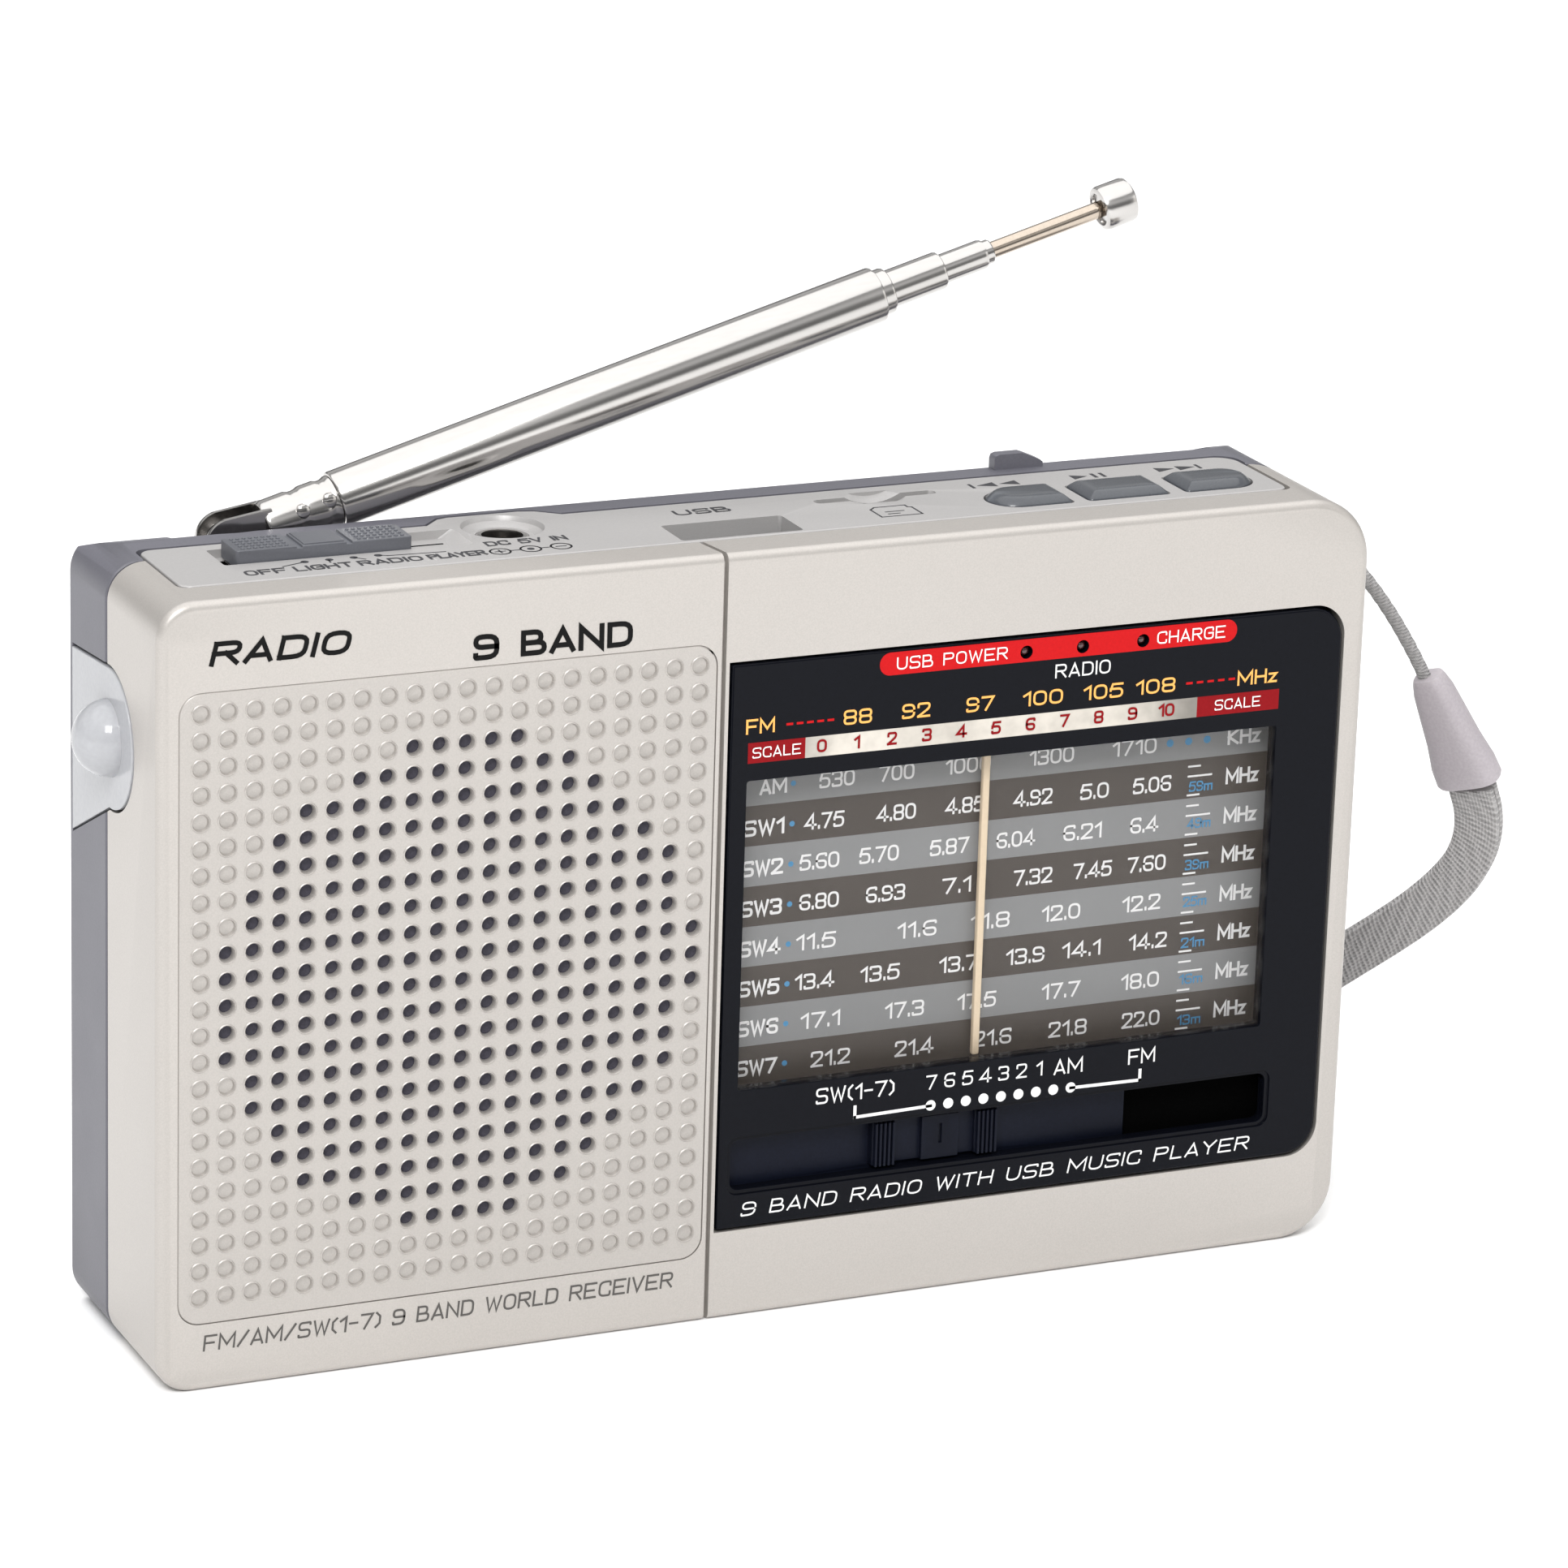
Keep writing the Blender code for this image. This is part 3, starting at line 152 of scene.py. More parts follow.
def finish(name, colour, roughness, grain=None, bump=None, metallic=0.0, coat=0.0, alpha=1.0, patch=0.0,
           stretch=None, edge_highlight=0.0, rough_span=0.0, specular=0.5):
    """A Principled material with a fine grain in its colour, a soft larger patchiness, and a fine bump.

    grain is (size in mm, strength) and bump is (size in mm, depth in mm). stretch squeezes the noise along each axis,
    for brushed metal. Convex edges are lightened by the given edge amount, a painted highlight, and rough_span varies
    the roughness by that much either way."""
    made = bpy.data.materials.new(name)
    made.use_nodes = True
    link = made.node_tree.links.new
    inputs = made.node_tree.nodes["Principled BSDF"].inputs
    for key, value in (("Base Color", (*colour, 1)), ("Roughness", roughness), ("Metallic", metallic),
                       ("Coat Weight", coat), ("Coat Roughness", 0.06), ("Alpha", alpha),
                       ("Specular IOR Level", specular)):
        inputs[key].default_value = value
    where = add_node(made, "TexCoord", output="Object")
    if stretch:
        where = add_node(made, "Mapping", where, Scale=stretch)

    def noise(size, detail=2.0):
        return add_node(made, "TexNoise", Vector=where, Scale=1 / (size * MM), Detail=detail)

    def spread(size, strength):
        return add_node(made, "MapRange", noise(size), *NOISE_RANGE, 1 - strength, 1 + strength)

    shades = [spread(*grain)] if grain else []
    if patch:
        shades.append(spread(PATCH_SIZE, patch))
    if edge_highlight:
        # Convex edges, found from Pointiness, are lightened: a painted highlight.
        pointiness = add_node(made, "NewGeometry", output="Pointiness")
        shades.append(add_node(made, "MapRange", pointiness, *EDGE_HIGHLIGHT_RANGE, 1.0, 1.0 + edge_highlight))
    if shades:
        shade = shades[0]
        for other in shades[1:]:
            shade = add_node(made, "Math", shade, other, operation="MULTIPLY")
        link(add_node(made, "VectorMath", colour, Scale=shade, operation="SCALE"), inputs["Base Color"])
    if rough_span:
        low, high = max(roughness - rough_span, 0.02), roughness + rough_span
        link(add_node(made, "MapRange", noise(6.0, 4.0), To_Min=low, To_Max=high), inputs["Roughness"])
    if bump:
        size, depth = bump
        link(add_node(made, "Bump", Distance=depth * MM, Strength=1.0, Height=noise(size)), inputs["Normal"])
    return made


def grey_ramp(owner, source, steps):
    """Turns an output from 0 to 1 into greys. steps are (position, grey), the first at 0 and the last at 1."""
    colour = add_node(owner, "ValToRGB", source)
    colour.node.color_ramp.interpolation = "EASE"
    stops = colour.node.color_ramp.elements
    stops[0].color, stops[1].color = ((*[grey] * 3, 1) for _, grey in (steps[0], steps[-1]))
    for position, grey in steps[1:-1]:
        stops.new(position).color = (grey, grey, grey, 1)
    return colour


def shade_along(look, steps):
    """Shades a look from one end of its piece to the other, along X."""
    along = add_node(look, "SeparateXYZ", add_node(look, "TexCoord", output="Generated"), output="X")
    base = look.node_tree.nodes["Principled BSDF"].inputs["Base Color"]
    shaded = add_node(look, "VectorMath", base.links[0].from_socket, grey_ramp(look, along, steps),
                      operation="MULTIPLY")
    look.node_tree.links.new(shaded, base)


def woven(name, colour, across, along):
    """Woven tape or cord, whose UV map is in millimetres.

    across is the spacing of its yarns, and along is the length of one stitch, both in mm."""
    made = finish(name, colour, 0.85)
    inputs = made.node_tree.nodes["Principled BSDF"].inputs
    inputs["Sheen Weight"].default_value = 0.25
    uv = add_node(made, "TexCoord", output="UV")

    def stripes(x, y, spacing):
        turns = add_node(made, "VectorMath", uv, (x / spacing, y / spacing, 0), operation="DOT_PRODUCT",
                         output="Value")
        return add_node(made, "Math", add_node(made, "Math", turns, 2 * pi, operation="MULTIPLY"), operation="SINE")

    yarns = add_node(made, "Math", stripes(1, 0.5, across), stripes(1, -0.5, across), operation="MULTIPLY")
    height = add_node(made, "Math", yarns, stripes(0.35, 1, along), operation="ADD")
    # The yarns' colour follows their height, darker in the hollows and lighter on top: a painted shade and highlight.
    shade = add_node(made, "MapRange", height, -1.6, 1.6, 0.66, 1.1)
    made.node_tree.links.new(add_node(made, "VectorMath", colour, Scale=shade, operation="SCALE"),
                             inputs["Base Color"])
    made.node_tree.links.new(add_node(made, "Bump", Distance=0.12 * MM, Height=height), inputs["Normal"])
    return made


def ink(name, colour, grain=0.05, specular=0.1):
    return finish(name, colour, 0.5, (0.2, grain), specular=specular)


# Looks given an edge amount below have their convex edges lightened, a painted highlight.
SILVER = finish("silver_paint_look", (0.44, 0.415, 0.39), 0.4, (0.16, 0.05), (0.2, 0.003), metallic=0.45, patch=0.01,
                edge_highlight=0.06, rough_span=0.02)
SLATE = finish("slate_look", (0.096, 0.095, 0.112), 0.46, (0.25, 0.05), (0.35, 0.008), patch=0.03, edge_highlight=0.25,
               rough_span=0.04)
PANEL_GREY = finish("panel_look", (0.395, 0.385, 0.38), 0.42, (0.2, 0.03), (0.25, 0.003), metallic=0.2, edge_highlight=0.12)
BLACK = finish("black_gloss_look", (0.003, 0.0035, 0.006), 0.14, (0.4, 0.1), specular=0.1, rough_span=0.02)
BLACK_SATIN = finish("black_satin_look", (0.004, 0.005, 0.010), 0.36, (0.3, 0.1), (0.3, 0.003), specular=0.1,
                     edge_highlight=0.6)
DARK = finish("dark_plastic_look", (0.03, 0.03, 0.035), 0.4, (0.3, 0.08), (0.3, 0.006), edge_highlight=0.5)
KEY = finish("key_look", (0.055, 0.06, 0.07), 0.27, (0.3, 0.06), (0.5, 0.004), coat=0.3, edge_highlight=0.4, rough_span=0.04)
KNOB = finish("slide_knob_look", (0.085, 0.088, 0.10), 0.4, (0.25, 0.05), (0.3, 0.006), edge_highlight=0.35)
CHROME = finish("chrome_look", (0.52, 0.505, 0.49), 0.18, (0.5, 0.02), (0.12, 0.0004), metallic=1.0,
                stretch=(0.05, 1, 1), rough_span=0.04)
BRASSY = finish("rod_look", (0.50, 0.43, 0.36), 0.18, (0.4, 0.04), metallic=1.0)
STEEL = finish("steel_look", (0.5, 0.5, 0.51), 0.3, (0.3, 0.06), (0.2, 0.002), metallic=1.0, rough_span=0.05)
BOARD = finish("board_look", (0.03, 0.14, 0.06), 0.4, (0.5, 0.1), (0.8, 0.01), coat=0.2)
CONE = finish("cone_look", (0.02, 0.02, 0.022), 0.85, (0.5, 0.2), (0.5, 0.03))
FERRITE = finish("ferrite_look", (0.05, 0.05, 0.052), 0.55, (0.3, 0.2), (0.3, 0.01))
COPPER = finish("copper_look", (0.68, 0.28, 0.1), 0.3, (0.3, 0.1), (0.15, 0.02), metallic=1.0,
                stretch=(1, 0.05, 0.05))
WRAP = finish("battery_look", (0.06, 0.12, 0.28), 0.35, (0.6, 0.05), (2.0, 0.02), coat=0.4)
PLATE = finish("scale_ground_look", (0.062, 0.052, 0.046), 0.5, (0.3, 0.04), patch=0.06)
PLATE_LIGHT = finish("scale_row_look", (0.23, 0.235, 0.24), 0.5, (0.3, 0.04), patch=0.05)
CREAM = finish("pointer_look", (0.74, 0.60, 0.43), 0.35, (0.3, 0.03))
WHITE_INK = ink("white_ink", (0.80, 0.80, 0.80), 0.03, 0.5)
GREY_INK = ink("grey_ink", (0.045, 0.045, 0.05), 0.08, 0.2)
FOOT_INK = ink("foot_ink", (0.10, 0.095, 0.09))
NAME_INK = ink("name_ink", (0.005, 0.005, 0.005))
ORANGE_INK = ink("orange_ink", (0.90, 0.42, 0.09), 0.04, 0.5)
RED_INK = finish("red_ink", (0.50, 0.007, 0.009), 0.5, (0.3, 0.05), specular=0.1)
DEEP_RED_INK = finish("deep_red_ink", (0.23, 0.004, 0.007), 0.5, (0.3, 0.05), specular=0.1)
BLUE_INK = ink("blue_ink", (0.06, 0.25, 0.46), specular=0.5)
SCALE_BAR = finish("scale_bar_look", (0.60, 0.56, 0.50), 0.5, (1.6, 0.1), specular=0.2, patch=0.1)
shade_along(SCALE_BAR, ((0.0, 0.75), (0.12, 1.0), (0.38, 0.8), (0.46, 1.0), (0.8, 0.95), (1.0, 0.4)))
WINDOW_CLEAR = finish("window_look", (0.10, 0.085, 0.07), 0.06, (0.5, 0.1), alpha=0.07, specular=0.2)
LENS_CLEAR = finish("lens_look", (0.44, 0.445, 0.465), 0.12, (0.5, 0.03), alpha=0.86)
LED_LOOK = finish("led_look", (0.05, 0.012, 0.014), 0.12, (0.3, 0.05), coat=0.8)
SLEEVE_LOOK = finish("sleeve_look", (0.36, 0.33, 0.35), 0.5, (0.3, 0.06), (0.4, 0.012), patch=0.03, edge_highlight=0.2)
FELT = finish("felt_look", (0.055, 0.052, 0.07), 0.9, (0.3, 0.15), (0.3, 0.02))
# Near-black look for sheets put in seams and slots: a painted shade for the dark beyond them.
PAINTED_SHADE = finish("painted_shade_look", (0.002, 0.002, 0.002), 0.9, (0.3, 0.1), specular=0.0)
TAPE = woven("tape_look", (0.45, 0.435, 0.43), 0.75, 0.6)
CORD_LOOK = woven("cord_look", (0.50, 0.485, 0.48), 0.3, 0.4)


# ---- modelling helpers ---------------------------------------------------------------------------------


def place(axis, a, b, along):
    return {"X": (along, a, b), "Y": (a, along, b), "Z": (a, b, along)}[axis]


def rounded(x0, y0, x1, y1, radii, sides=10):
    """Outline of a rectangle whose corners (lower left, lower right, upper right, upper left) are rounded."""
    if not isinstance(radii, tuple):
        radii = (radii,) * 4
    corners = ((x0, y0, 1, 1, 180), (x1, y0, -1, 1, 270), (x1, y1, -1, -1, 0), (x0, y1, 1, -1, 90))
    points = []
    for (x, y, inward_x, inward_y, start), radius in zip(corners, radii):
        for step in range(sides + 1 if radius else 1):
            turn = radians(start + 90 * step / sides)
            points.append((x + radius * (inward_x + cos(turn)), y + radius * (inward_y + sin(turn))))
    return points


def circle(x, y, radius, sides):
    return [(x + radius * cos(2 * pi * i / sides), y + radius * sin(2 * pi * i / sides)) for i in range(sides)]


def join_rings(bm, lower, upper):
    """Joins two closed rings of points, which have equally many, with a band of faces."""
    for i in range(len(lower)):
        j = (i + 1) % len(lower)
        bm.faces.new((lower[i], lower[j], upper[j], upper[i]))


def solid(bm, rings):
    """Closes rings of points, which have equally many, into one skin."""
    bm.faces.new(rings[0])
    bm.faces.new(rings[-1])
    for lower, upper in zip(rings, rings[1:]):
        join_rings(bm, lower, upper)
    return bm


def loft(axis, layers, into=None):
    """A closed solid through layers of (distance along the axis, outline), which have equally many points."""
    bm = into or bmesh.new()
    return solid(bm, [[bm.verts.new(place(axis, a, b, along)) for a, b in outline] for along, outline in layers])


def prism(axis, outline, low, high, into=None):
    return loft(axis, ((low, outline), (high, outline)), into)


def block(low, high, into=None):
    outline = [(low[0], low[1]), (high[0], low[1]), (high[0], high[1]), (low[0], high[1])]
    return prism("Z", outline, low[2], high[2], into)


def turned(axis, centre, profile, sides=48, into=None):
    """A solid of revolution: profile lists (radius, distance along the axis) from one flat end to the other."""
    return loft(axis, [(along, circle(*centre, radius, sides)) for radius, along in profile], into)


def soft(axis, outline_at, low, high, radius, steps=4, both=True):
    """A slab from low to high whose outer edges are rounded. outline_at(inset) gives its outline."""
    turns = [pi / 2 * i / steps for i in range(steps + 1)]
    end = [(high - radius * (1 - sin(t)), outline_at(radius * (1 - cos(t)))) for t in turns]
    start = [(low + radius * (1 - sin(t)), outline_at(radius * (1 - cos(t)))) for t in reversed(turns)]
    return loft(axis, (*(start if both else [(low, outline_at(0))]), *end))


def grown(rectangle, by):
    x0, y0, x1, y1 = rectangle
    return x0 - by, y0 - by, x1 + by, y1 + by


def slab(axis, rectangle, low, high, radius, corner, sides, steps=4):
    """A flat box with rounded corners, whose outer edges are rounded too."""
    return soft(axis, lambda inset: rounded(*grown(rectangle, -inset), corner, sides), low, high, radius, steps)


def piece(name, bm, look, body=None, stands_for=(), sharp=32, shift=True):
    """Makes the object from a bmesh in millimetres, and lets it ride on its body."""
    bmesh.ops.recalc_face_normals(bm, faces=bm.faces)
    if shift:
        bmesh.ops.translate(bm, vec=SHIFT, verts=bm.verts)
    bmesh.ops.scale(bm, vec=(MM, MM, MM), verts=bm.verts)
    mesh = bpy.data.meshes.new(name)
    bm.to_mesh(mesh)
    bm.free()
    mesh.shade_smooth()
    mesh.set_sharp_from_angle(angle=radians(sharp))
    made = bpy.data.objects.new(name, mesh)
    bpy.context.scene.collection.objects.link(made)
    if look:
        mesh.materials.append(look)
    if body:
        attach(made, body)
    if stands_for:
        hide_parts(*stands_for)
    return made


def modify(target, name, kind, **settings):
    modifier = target.modifiers.new(name, kind)
    for key, value in settings.items():
        setattr(modifier, key, value)


def carve(target, *steps, sharp=32, bevel=0.0):
    """Applies Boolean steps of (operation, bmesh) in order, then a fine bevel on the sharp edges."""
    helpers = []
    for operation, bm in steps:
        helpers.append(piece(f"{target.name}_tool_{len(helpers)}", bm, None))
        modify(target, "step", "BOOLEAN", operation=operation, solver="EXACT", object=helpers[-1])
    if bevel:
        modify(target, "edges", "BEVEL", width=bevel * MM, segments=2, limit_method="ANGLE",
               angle_limit=radians(50), use_clamp_overlap=True)
    graph = bpy.context.evaluated_depsgraph_get()
    shape = bpy.data.meshes.new_from_object(target.evaluated_get(graph))
    target.modifiers.clear()
    old, target.data = target.data, shape
    shape.name = target.name
    bpy.data.meshes.remove(old)
    for helper in helpers:
        bpy.data.objects.remove(helper)
    shape.shade_smooth()
    shape.set_sharp_from_angle(angle=radians(sharp))
    modify(target, "normals", "WEIGHTED_NORMAL", keep_sharp=True, weight=100)
    return target


def smooth_line(points, step):
    """Points about step apart on a Catmull-Rom curve through the given ones."""
    knots = [Vector(p) for p in points]
    knots = [2 * knots[0] - knots[1], *knots, 2 * knots[-1] - knots[-2]]
    line = []
    for before, start, end, after in zip(knots, knots[1:], knots[2:], knots[3:]):
        count = max(1, ceil((end - start).length / step))
        for i in range(count):
            t = i / count
            line.append(0.5 * (2 * start + (end - before) * t + (2 * before - 5 * start + 4 * end - after) * t**2
                               + (3 * start - before - 3 * end + after) * t**3))
    return [*line, knots[-2]]


# Each letter is its width and its strokes, in eighths of the capital height. A stroke is a run of points, two
# figures each, and one that starts with o has rounded corners.
LETTERS = {
    "0": (6, "o0060680800"), "1": (3, "063830"), "2": (6, "o0608686500 0060"), "3": (6, "o0708686424 o2464600001"),
    "4": (7, "5058020272"), "5": (6, "681804 o0565600001"), "6": (6, "o67680800606404"), "7": (6, "086820"),
    "8": (6, "o0464680804 o0464600004"), "9": (6, "o01006068080464"), ".": (0, "0001"), "-": (4, "0444"),
    "(": (2, "28060220"), ")": (2, "08262200"), "/": (5, "0058"), " ": (3, ""),
    "A": (6, "003860 1252"), "B": (6, "0008 o08585404 o04646000"), "C": (6, "o666808006062"),
    "D": (6, "0008 o08686000"), "E": (6, "68080060 0454"), "F": (6, "680800 0454"), "G": (6, "o666808006064 6434"),
    "H": (6, "0008 6068 0464"), "I": (0, "0008"), "J": (5, "o58500002"), "K": (6, "0008 680460"), "L": (5, "080050"),
    "M": (8, "0008428880"), "N": (6, "00086068"), "O": (6, "o0060680800"), "P": (6, "0008 o08686404"),
    "R": (6, "0008 o08686404 3460"), "S": (6, "o6768080464600001"), "T": (6, "0868 3830"), "U": (6, "o08006068"),
    "V": (6, "083068"), "W": (8, "0820476088"), "X": (6, "0068 0860"), "Y": (6, "083468 3430"), "Z": (6, "08680060"),
    "z": (4, "05450040"), "m": (8, "00058580 4540"),
}
LETTER_SPACE, CORNER_OF_LETTER = 2.3, 3.0


def softened(points, closed, radius):
    """The same line with its corners rounded."""
    line = []
    for i, point in enumerate(points):
        if not closed and i in (0, len(points) - 1):
            line.append(point)
            continue
        back, on = points[i - 1] - point, points[(i + 1) % len(points)] - point
        reach = min(radius, 0.48 * back.length, 0.48 * on.length)
        start, end = point + back.normalized() * reach, point + on.normalized() * reach
        line += [start * (1 - t) ** 2 + point * 2 * t * (1 - t) + end * t**2 for t in (0, 0.25, 0.5, 0.75, 1)]
    return line


def inked(bm, points, closed, weight, lift):
    """Draws a line of even weight, and lift(point) puts each of its points in space."""
    edges = []
    last = len(points) - 1
    for i, point in enumerate(points):
        after = (points[(i + 1) % len(points)] - point).normalized() if closed or i < last else None
        before = (point - points[i - 1]).normalized() if closed or i else after
        after = after or before
        outward = Vector((-before.y - after.y, before.x + after.x)).normalized()
        reach = weight / 2 / max(outward.dot(Vector((-before.y, before.x))), 0.4)
        end = Vector((0, 0)) if closed or 0 < i < last else (after if i else -after) * weight / 2
        edges.append([bm.verts.new(lift(point + end + outward * side * reach)) for side in (1, -1)])
    pairs = list(zip(edges, edges[1:] + edges[:1] if closed else edges[1:]))
    for (left, right), (next_left, next_right) in pairs:
        bm.faces.new((left, next_left, next_right, right))


def lettering(name, items, look, face, proud=0.03, weight=0.15):
    """Printed words. Each item is (text, x, z or y, cap height, width or None) and perhaps a lean, centred there.

    face is ("front", y) for words that face the front, or ("top", z) for words on top."""
    bm = bmesh.new()
    side, depth = face
    for text, x, up, height, width, *lean in items:
        drawn, pen = [], 0.0
        for letter in text:
            wide, strokes = LETTERS.get(letter) or LETTERS[letter.upper()]
            for stroke in strokes.split():
                figures = stroke.lstrip("o")
                points = [Vector((int(a) + pen, int(b))) for a, b in zip(figures[::2], figures[1::2])]
                points = [p for i, p in enumerate(points) if not i or (p - points[i - 1]).length > 0.01]
                closed = len(points) > 2 and (points[0] - points[-1]).length < 0.01
                points = points[:-1] if closed else points
                drawn.append((softened(points, closed, CORNER_OF_LETTER) if stroke[0] == "o" else points, closed))
            pen += wide + LETTER_SPACE
        pen -= LETTER_SPACE
        thick = weight * height
        tall = (height - thick) / 8
        stretch = (width - thick) / pen if width else tall
        slope = lean[0] if lean else 0.0
        for number, (points, closed) in enumerate(drawn):
            placed = [Vector(((p.x - pen / 2) * stretch + (p.y - 4) * tall * slope, (p.y - 4) * tall))
                      for p in points]
            rise = proud + 0.006 * (number % 4)

            def lift(p):
                return (x + p.x, depth - rise, up + p.y) if side == "front" else (x + p.x, up + p.y, depth + rise)

            inked(bm, placed, closed, thick, lift)
    return piece(name, bm, look, "case")


def flat_shapes(name, outlines, look, face, proud=0.02):
    """Thin printed shapes: each outline is a list of (x, z) or (x, y) points."""
    bm = bmesh.new()
    side, depth = face
    axis, sign = ("Y", -1) if side == "front" else ("Z", 1)
    for outline in outlines:
        prism(axis, outline, depth + sign * proud, depth - sign * INK_SUNK, bm)
    return piece(name, bm, look, "case")


def bar(x0, y0, x1, y1):
    return [(x0, y0), (x1, y0), (x1, y1), (x0, y1)]


def strokes(width, *lines):
    """Thin straight strokes along lines of (x, y) points."""
    shapes = []
    for a, b in (pair for line in lines for pair in zip(line, line[1:])):
        a, b = Vector(a), Vector(b)
        along = (b - a).normalized() * width / 2
        across = Vector((-along.y, along.x))
        shapes.append([tuple(p) for p in (a - along - across, b + along - across, b + along + across,
                                          a - along + across)])
    return shapes


# ---- camera and strap ----------------------------------------------------------------------------------


def camera():
    data = bpy.data.cameras.new("camera")
    data.lens, data.sensor_width, data.clip_end = CAMERA_LENS, 36, 20
    made = bpy.data.objects.new("camera", data)
    bpy.context.scene.collection.objects.link(made)
    facing = CAMERA_FACING.to_track_quat("-Z", "Y").to_matrix().to_4x4()
    made.matrix_world = Matrix.Translation(CAMERA_AT) @ facing @ Matrix.Rotation(radians(CAMERA_ROLL), 4, "Z")
    bpy.context.scene.camera = made


def run_of(line):
    """How far along a line each of its points lies."""
    return list(accumulate(((b - a).length for a, b in zip(line, line[1:])), initial=0.0))


def ahead_at(line, i):
    """The direction of a line at one of its points."""
    return (line[min(i + 1, len(line) - 1)] - line[max(i - 1, 0)]).normalized()


def skinned(name, bm, rings, run, across, look, sharp=32):
    """Closes rings of points into a skin with a UV map in millimetres, where across(j) is the place of side j."""
    uv = bm.loops.layers.uv.new("UVMap")
    sides = len(rings[0])
    for lower, upper, start, end in zip(rings, rings[1:], run, run[1:]):
        for j in range(sides):
            k = (j + 1) % sides
            face = bm.faces.new((lower[j], lower[k], upper[k], upper[j]))
            for loop, (side, along) in zip(face.loops, ((j, start), (j + 1, start), (j + 1, end), (j, end))):
                loop[uv].uv = (across(side), along)
    bm.faces.new(rings[0])
    bm.faces.new(rings[-1])
    return piece(name, bm, look, sharp=sharp)


def tube(name, line, radius_at, look, sides=20):
    """A round tube along a line. radius_at(distance, angle) gives its surface."""
    bm = bmesh.new()
    normal = Vector((0, 0, 1))
    rings, run = [], run_of(line)
    for i, (point, distance) in enumerate(zip(line, run)):
        ahead = ahead_at(line, i)
        normal = (normal - ahead * normal.dot(ahead)).normalized()
        side = ahead.cross(normal)
        turns = [2 * pi * j / sides for j in range(sides)]
        rings.append([bm.verts.new(point + (normal * cos(turn) + side * sin(turn)) * radius_at(distance, turn))
                      for turn in turns])
    return skinned(name, bm, rings, run, lambda side: side * 2 * pi * 0.75 / sides, look)


def ribbon(name, line, look, width, thick, spread):
    """A tape that runs out along a line and back again beside itself, folded at its far end."""
    frames = []
    for i, point in enumerate(line):
        ahead = ahead_at(line, i)
        across = ahead.cross(BAND_FACING).normalized()
        frames.append((point, ahead, across, across.cross(ahead).normalized()))
    stations = [(point + facing * spread, facing, across) for point, _, across, facing in frames]
    point, ahead, across, facing = frames[-1]
    for i in range(1, 8):
        turn = pi * i / 8
        out = facing * cos(turn) + ahead * sin(turn)
        stations.append((point + out * spread, out, across))
    stations += [(point - facing * spread, -facing, across) for point, _, across, facing in reversed(frames)]
    profile = [(a, b + 0.05 * (1 - (2 * a / width) ** 2))
               for a, b in rounded(-width / 2, -thick / 2, width / 2, thick / 2, thick * 0.42, 3)]
    bm = bmesh.new()
    rings = [[bm.verts.new(centre + across * a + out * b) for a, b in profile]
             for centre, out, across in stations]
    run = run_of([centre for centre, _, _ in stations])
    return skinned(name, bm, rings, run, lambda side: profile[side % len(profile)][0], look, sharp=60)


def sleeve_ring(bm, centre, across, facing, width, thick):
    """A ring of points between an ellipse and a rounded rectangle."""
    ring = []
    for turn in (2 * pi * j / 32 for j in range(32)):
        a = abs(cos(turn)) ** 0.62 * (1 if cos(turn) > 0 else -1) * width / 2
        b = abs(sin(turn)) ** 0.75 * (1 if sin(turn) > 0 else -1) * thick / 2
        ring.append(bm.verts.new(centre + across * a + facing * b))
    return ring


def strap():
    line = smooth_line(STRAP_CORD, 0.25)
    cord = tube("wrist_cord", line, lambda s, t: 0.68 + 0.07 * abs(sin(1.5 * t + s * 2.1)), CORD_LOOK, 24)
    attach(cord, "case")
    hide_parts("strap_cord")
    top, bottom = Vector(SLEEVE_TOP), Vector(SLEEVE_BOTTOM)
    along = (bottom - top).normalized()
    across = along.cross(BAND_FACING).normalized()
    facing = across.cross(along).normalized()
    bm = bmesh.new()
    solid(bm, [sleeve_ring(bm, top.lerp(bottom, share), across, facing, width, thick)
               for share, width, thick in SLEEVE_SHAPE])
    sleeve = piece("wrist_sleeve", bm, SLEEVE_LOOK, "case", ("strap_sleeve",), sharp=40)
    band_line = smooth_line(WEBBING, 0.7)
    band = ribbon("wrist_webbing", band_line, TAPE, WEBBING_WIDTH, 1.0, 0.58)
    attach(band, "case")
    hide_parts("strap_webbing")


# ---- case ----------------------------------------------------------------------------------------------


def case_outline(inset=0.0):
    radii = tuple(max(r - inset, 0.4) for r in (CORNER, CORNER_LOWER_RIGHT, CORNER_UPPER_RIGHT, CORNER))
    return rounded(*grown((LEFT, 0, RIGHT, TOP), -inset), radii, 14)


def panel_outline(clearance=0.0):
    """Outline of the top panel, whose rear edge steps out round the power socket."""
    x0, y0, x1, y1 = grown(PANEL, clearance)
    edge = rounded(x0, y0, x1, y1, (1.2, 1.2, 2.4, 1.4), sides=6)
    bump = [(JACK[0] + 7.6, y1), (JACK[0] + 5.2, y1 + 1.9), (JACK[0] + 3.6, y1 + 2.3), (JACK[0] - 4.2, y1 + 2.3),
            (JACK[0] - 5.4, y1 + 1.9), (JACK[0] - 7.2, y1)]
    return edge[:21] + bump + edge[21:]


def torch_outline(radius):
    front = [(TORCH_Y - radius * sin(t), TORCH_Z + radius * cos(t)) for t in (pi * i / 32 for i in range(33))]
    more = radius - TORCH_RADIUS
    return front + [(REAR - 1.4 + more, TORCH_Z - 13.2 - 1.3 * more), (REAR - 1.4 + more, TORCH_Z + 6.2 + 1.1 * more)]


def torch_cuts():
    hole = turned("X", (TORCH_Y, TORCH_Z), ((TORCH_RADIUS + GAP, LEFT), (TORCH_RADIUS + GAP, LEFT + 3)), 48)
    return (CUT, prism("X", torch_outline(TORCH_RADIUS + GAP), LEFT - 1, LEFT + 1.2)), (CUT, hole)


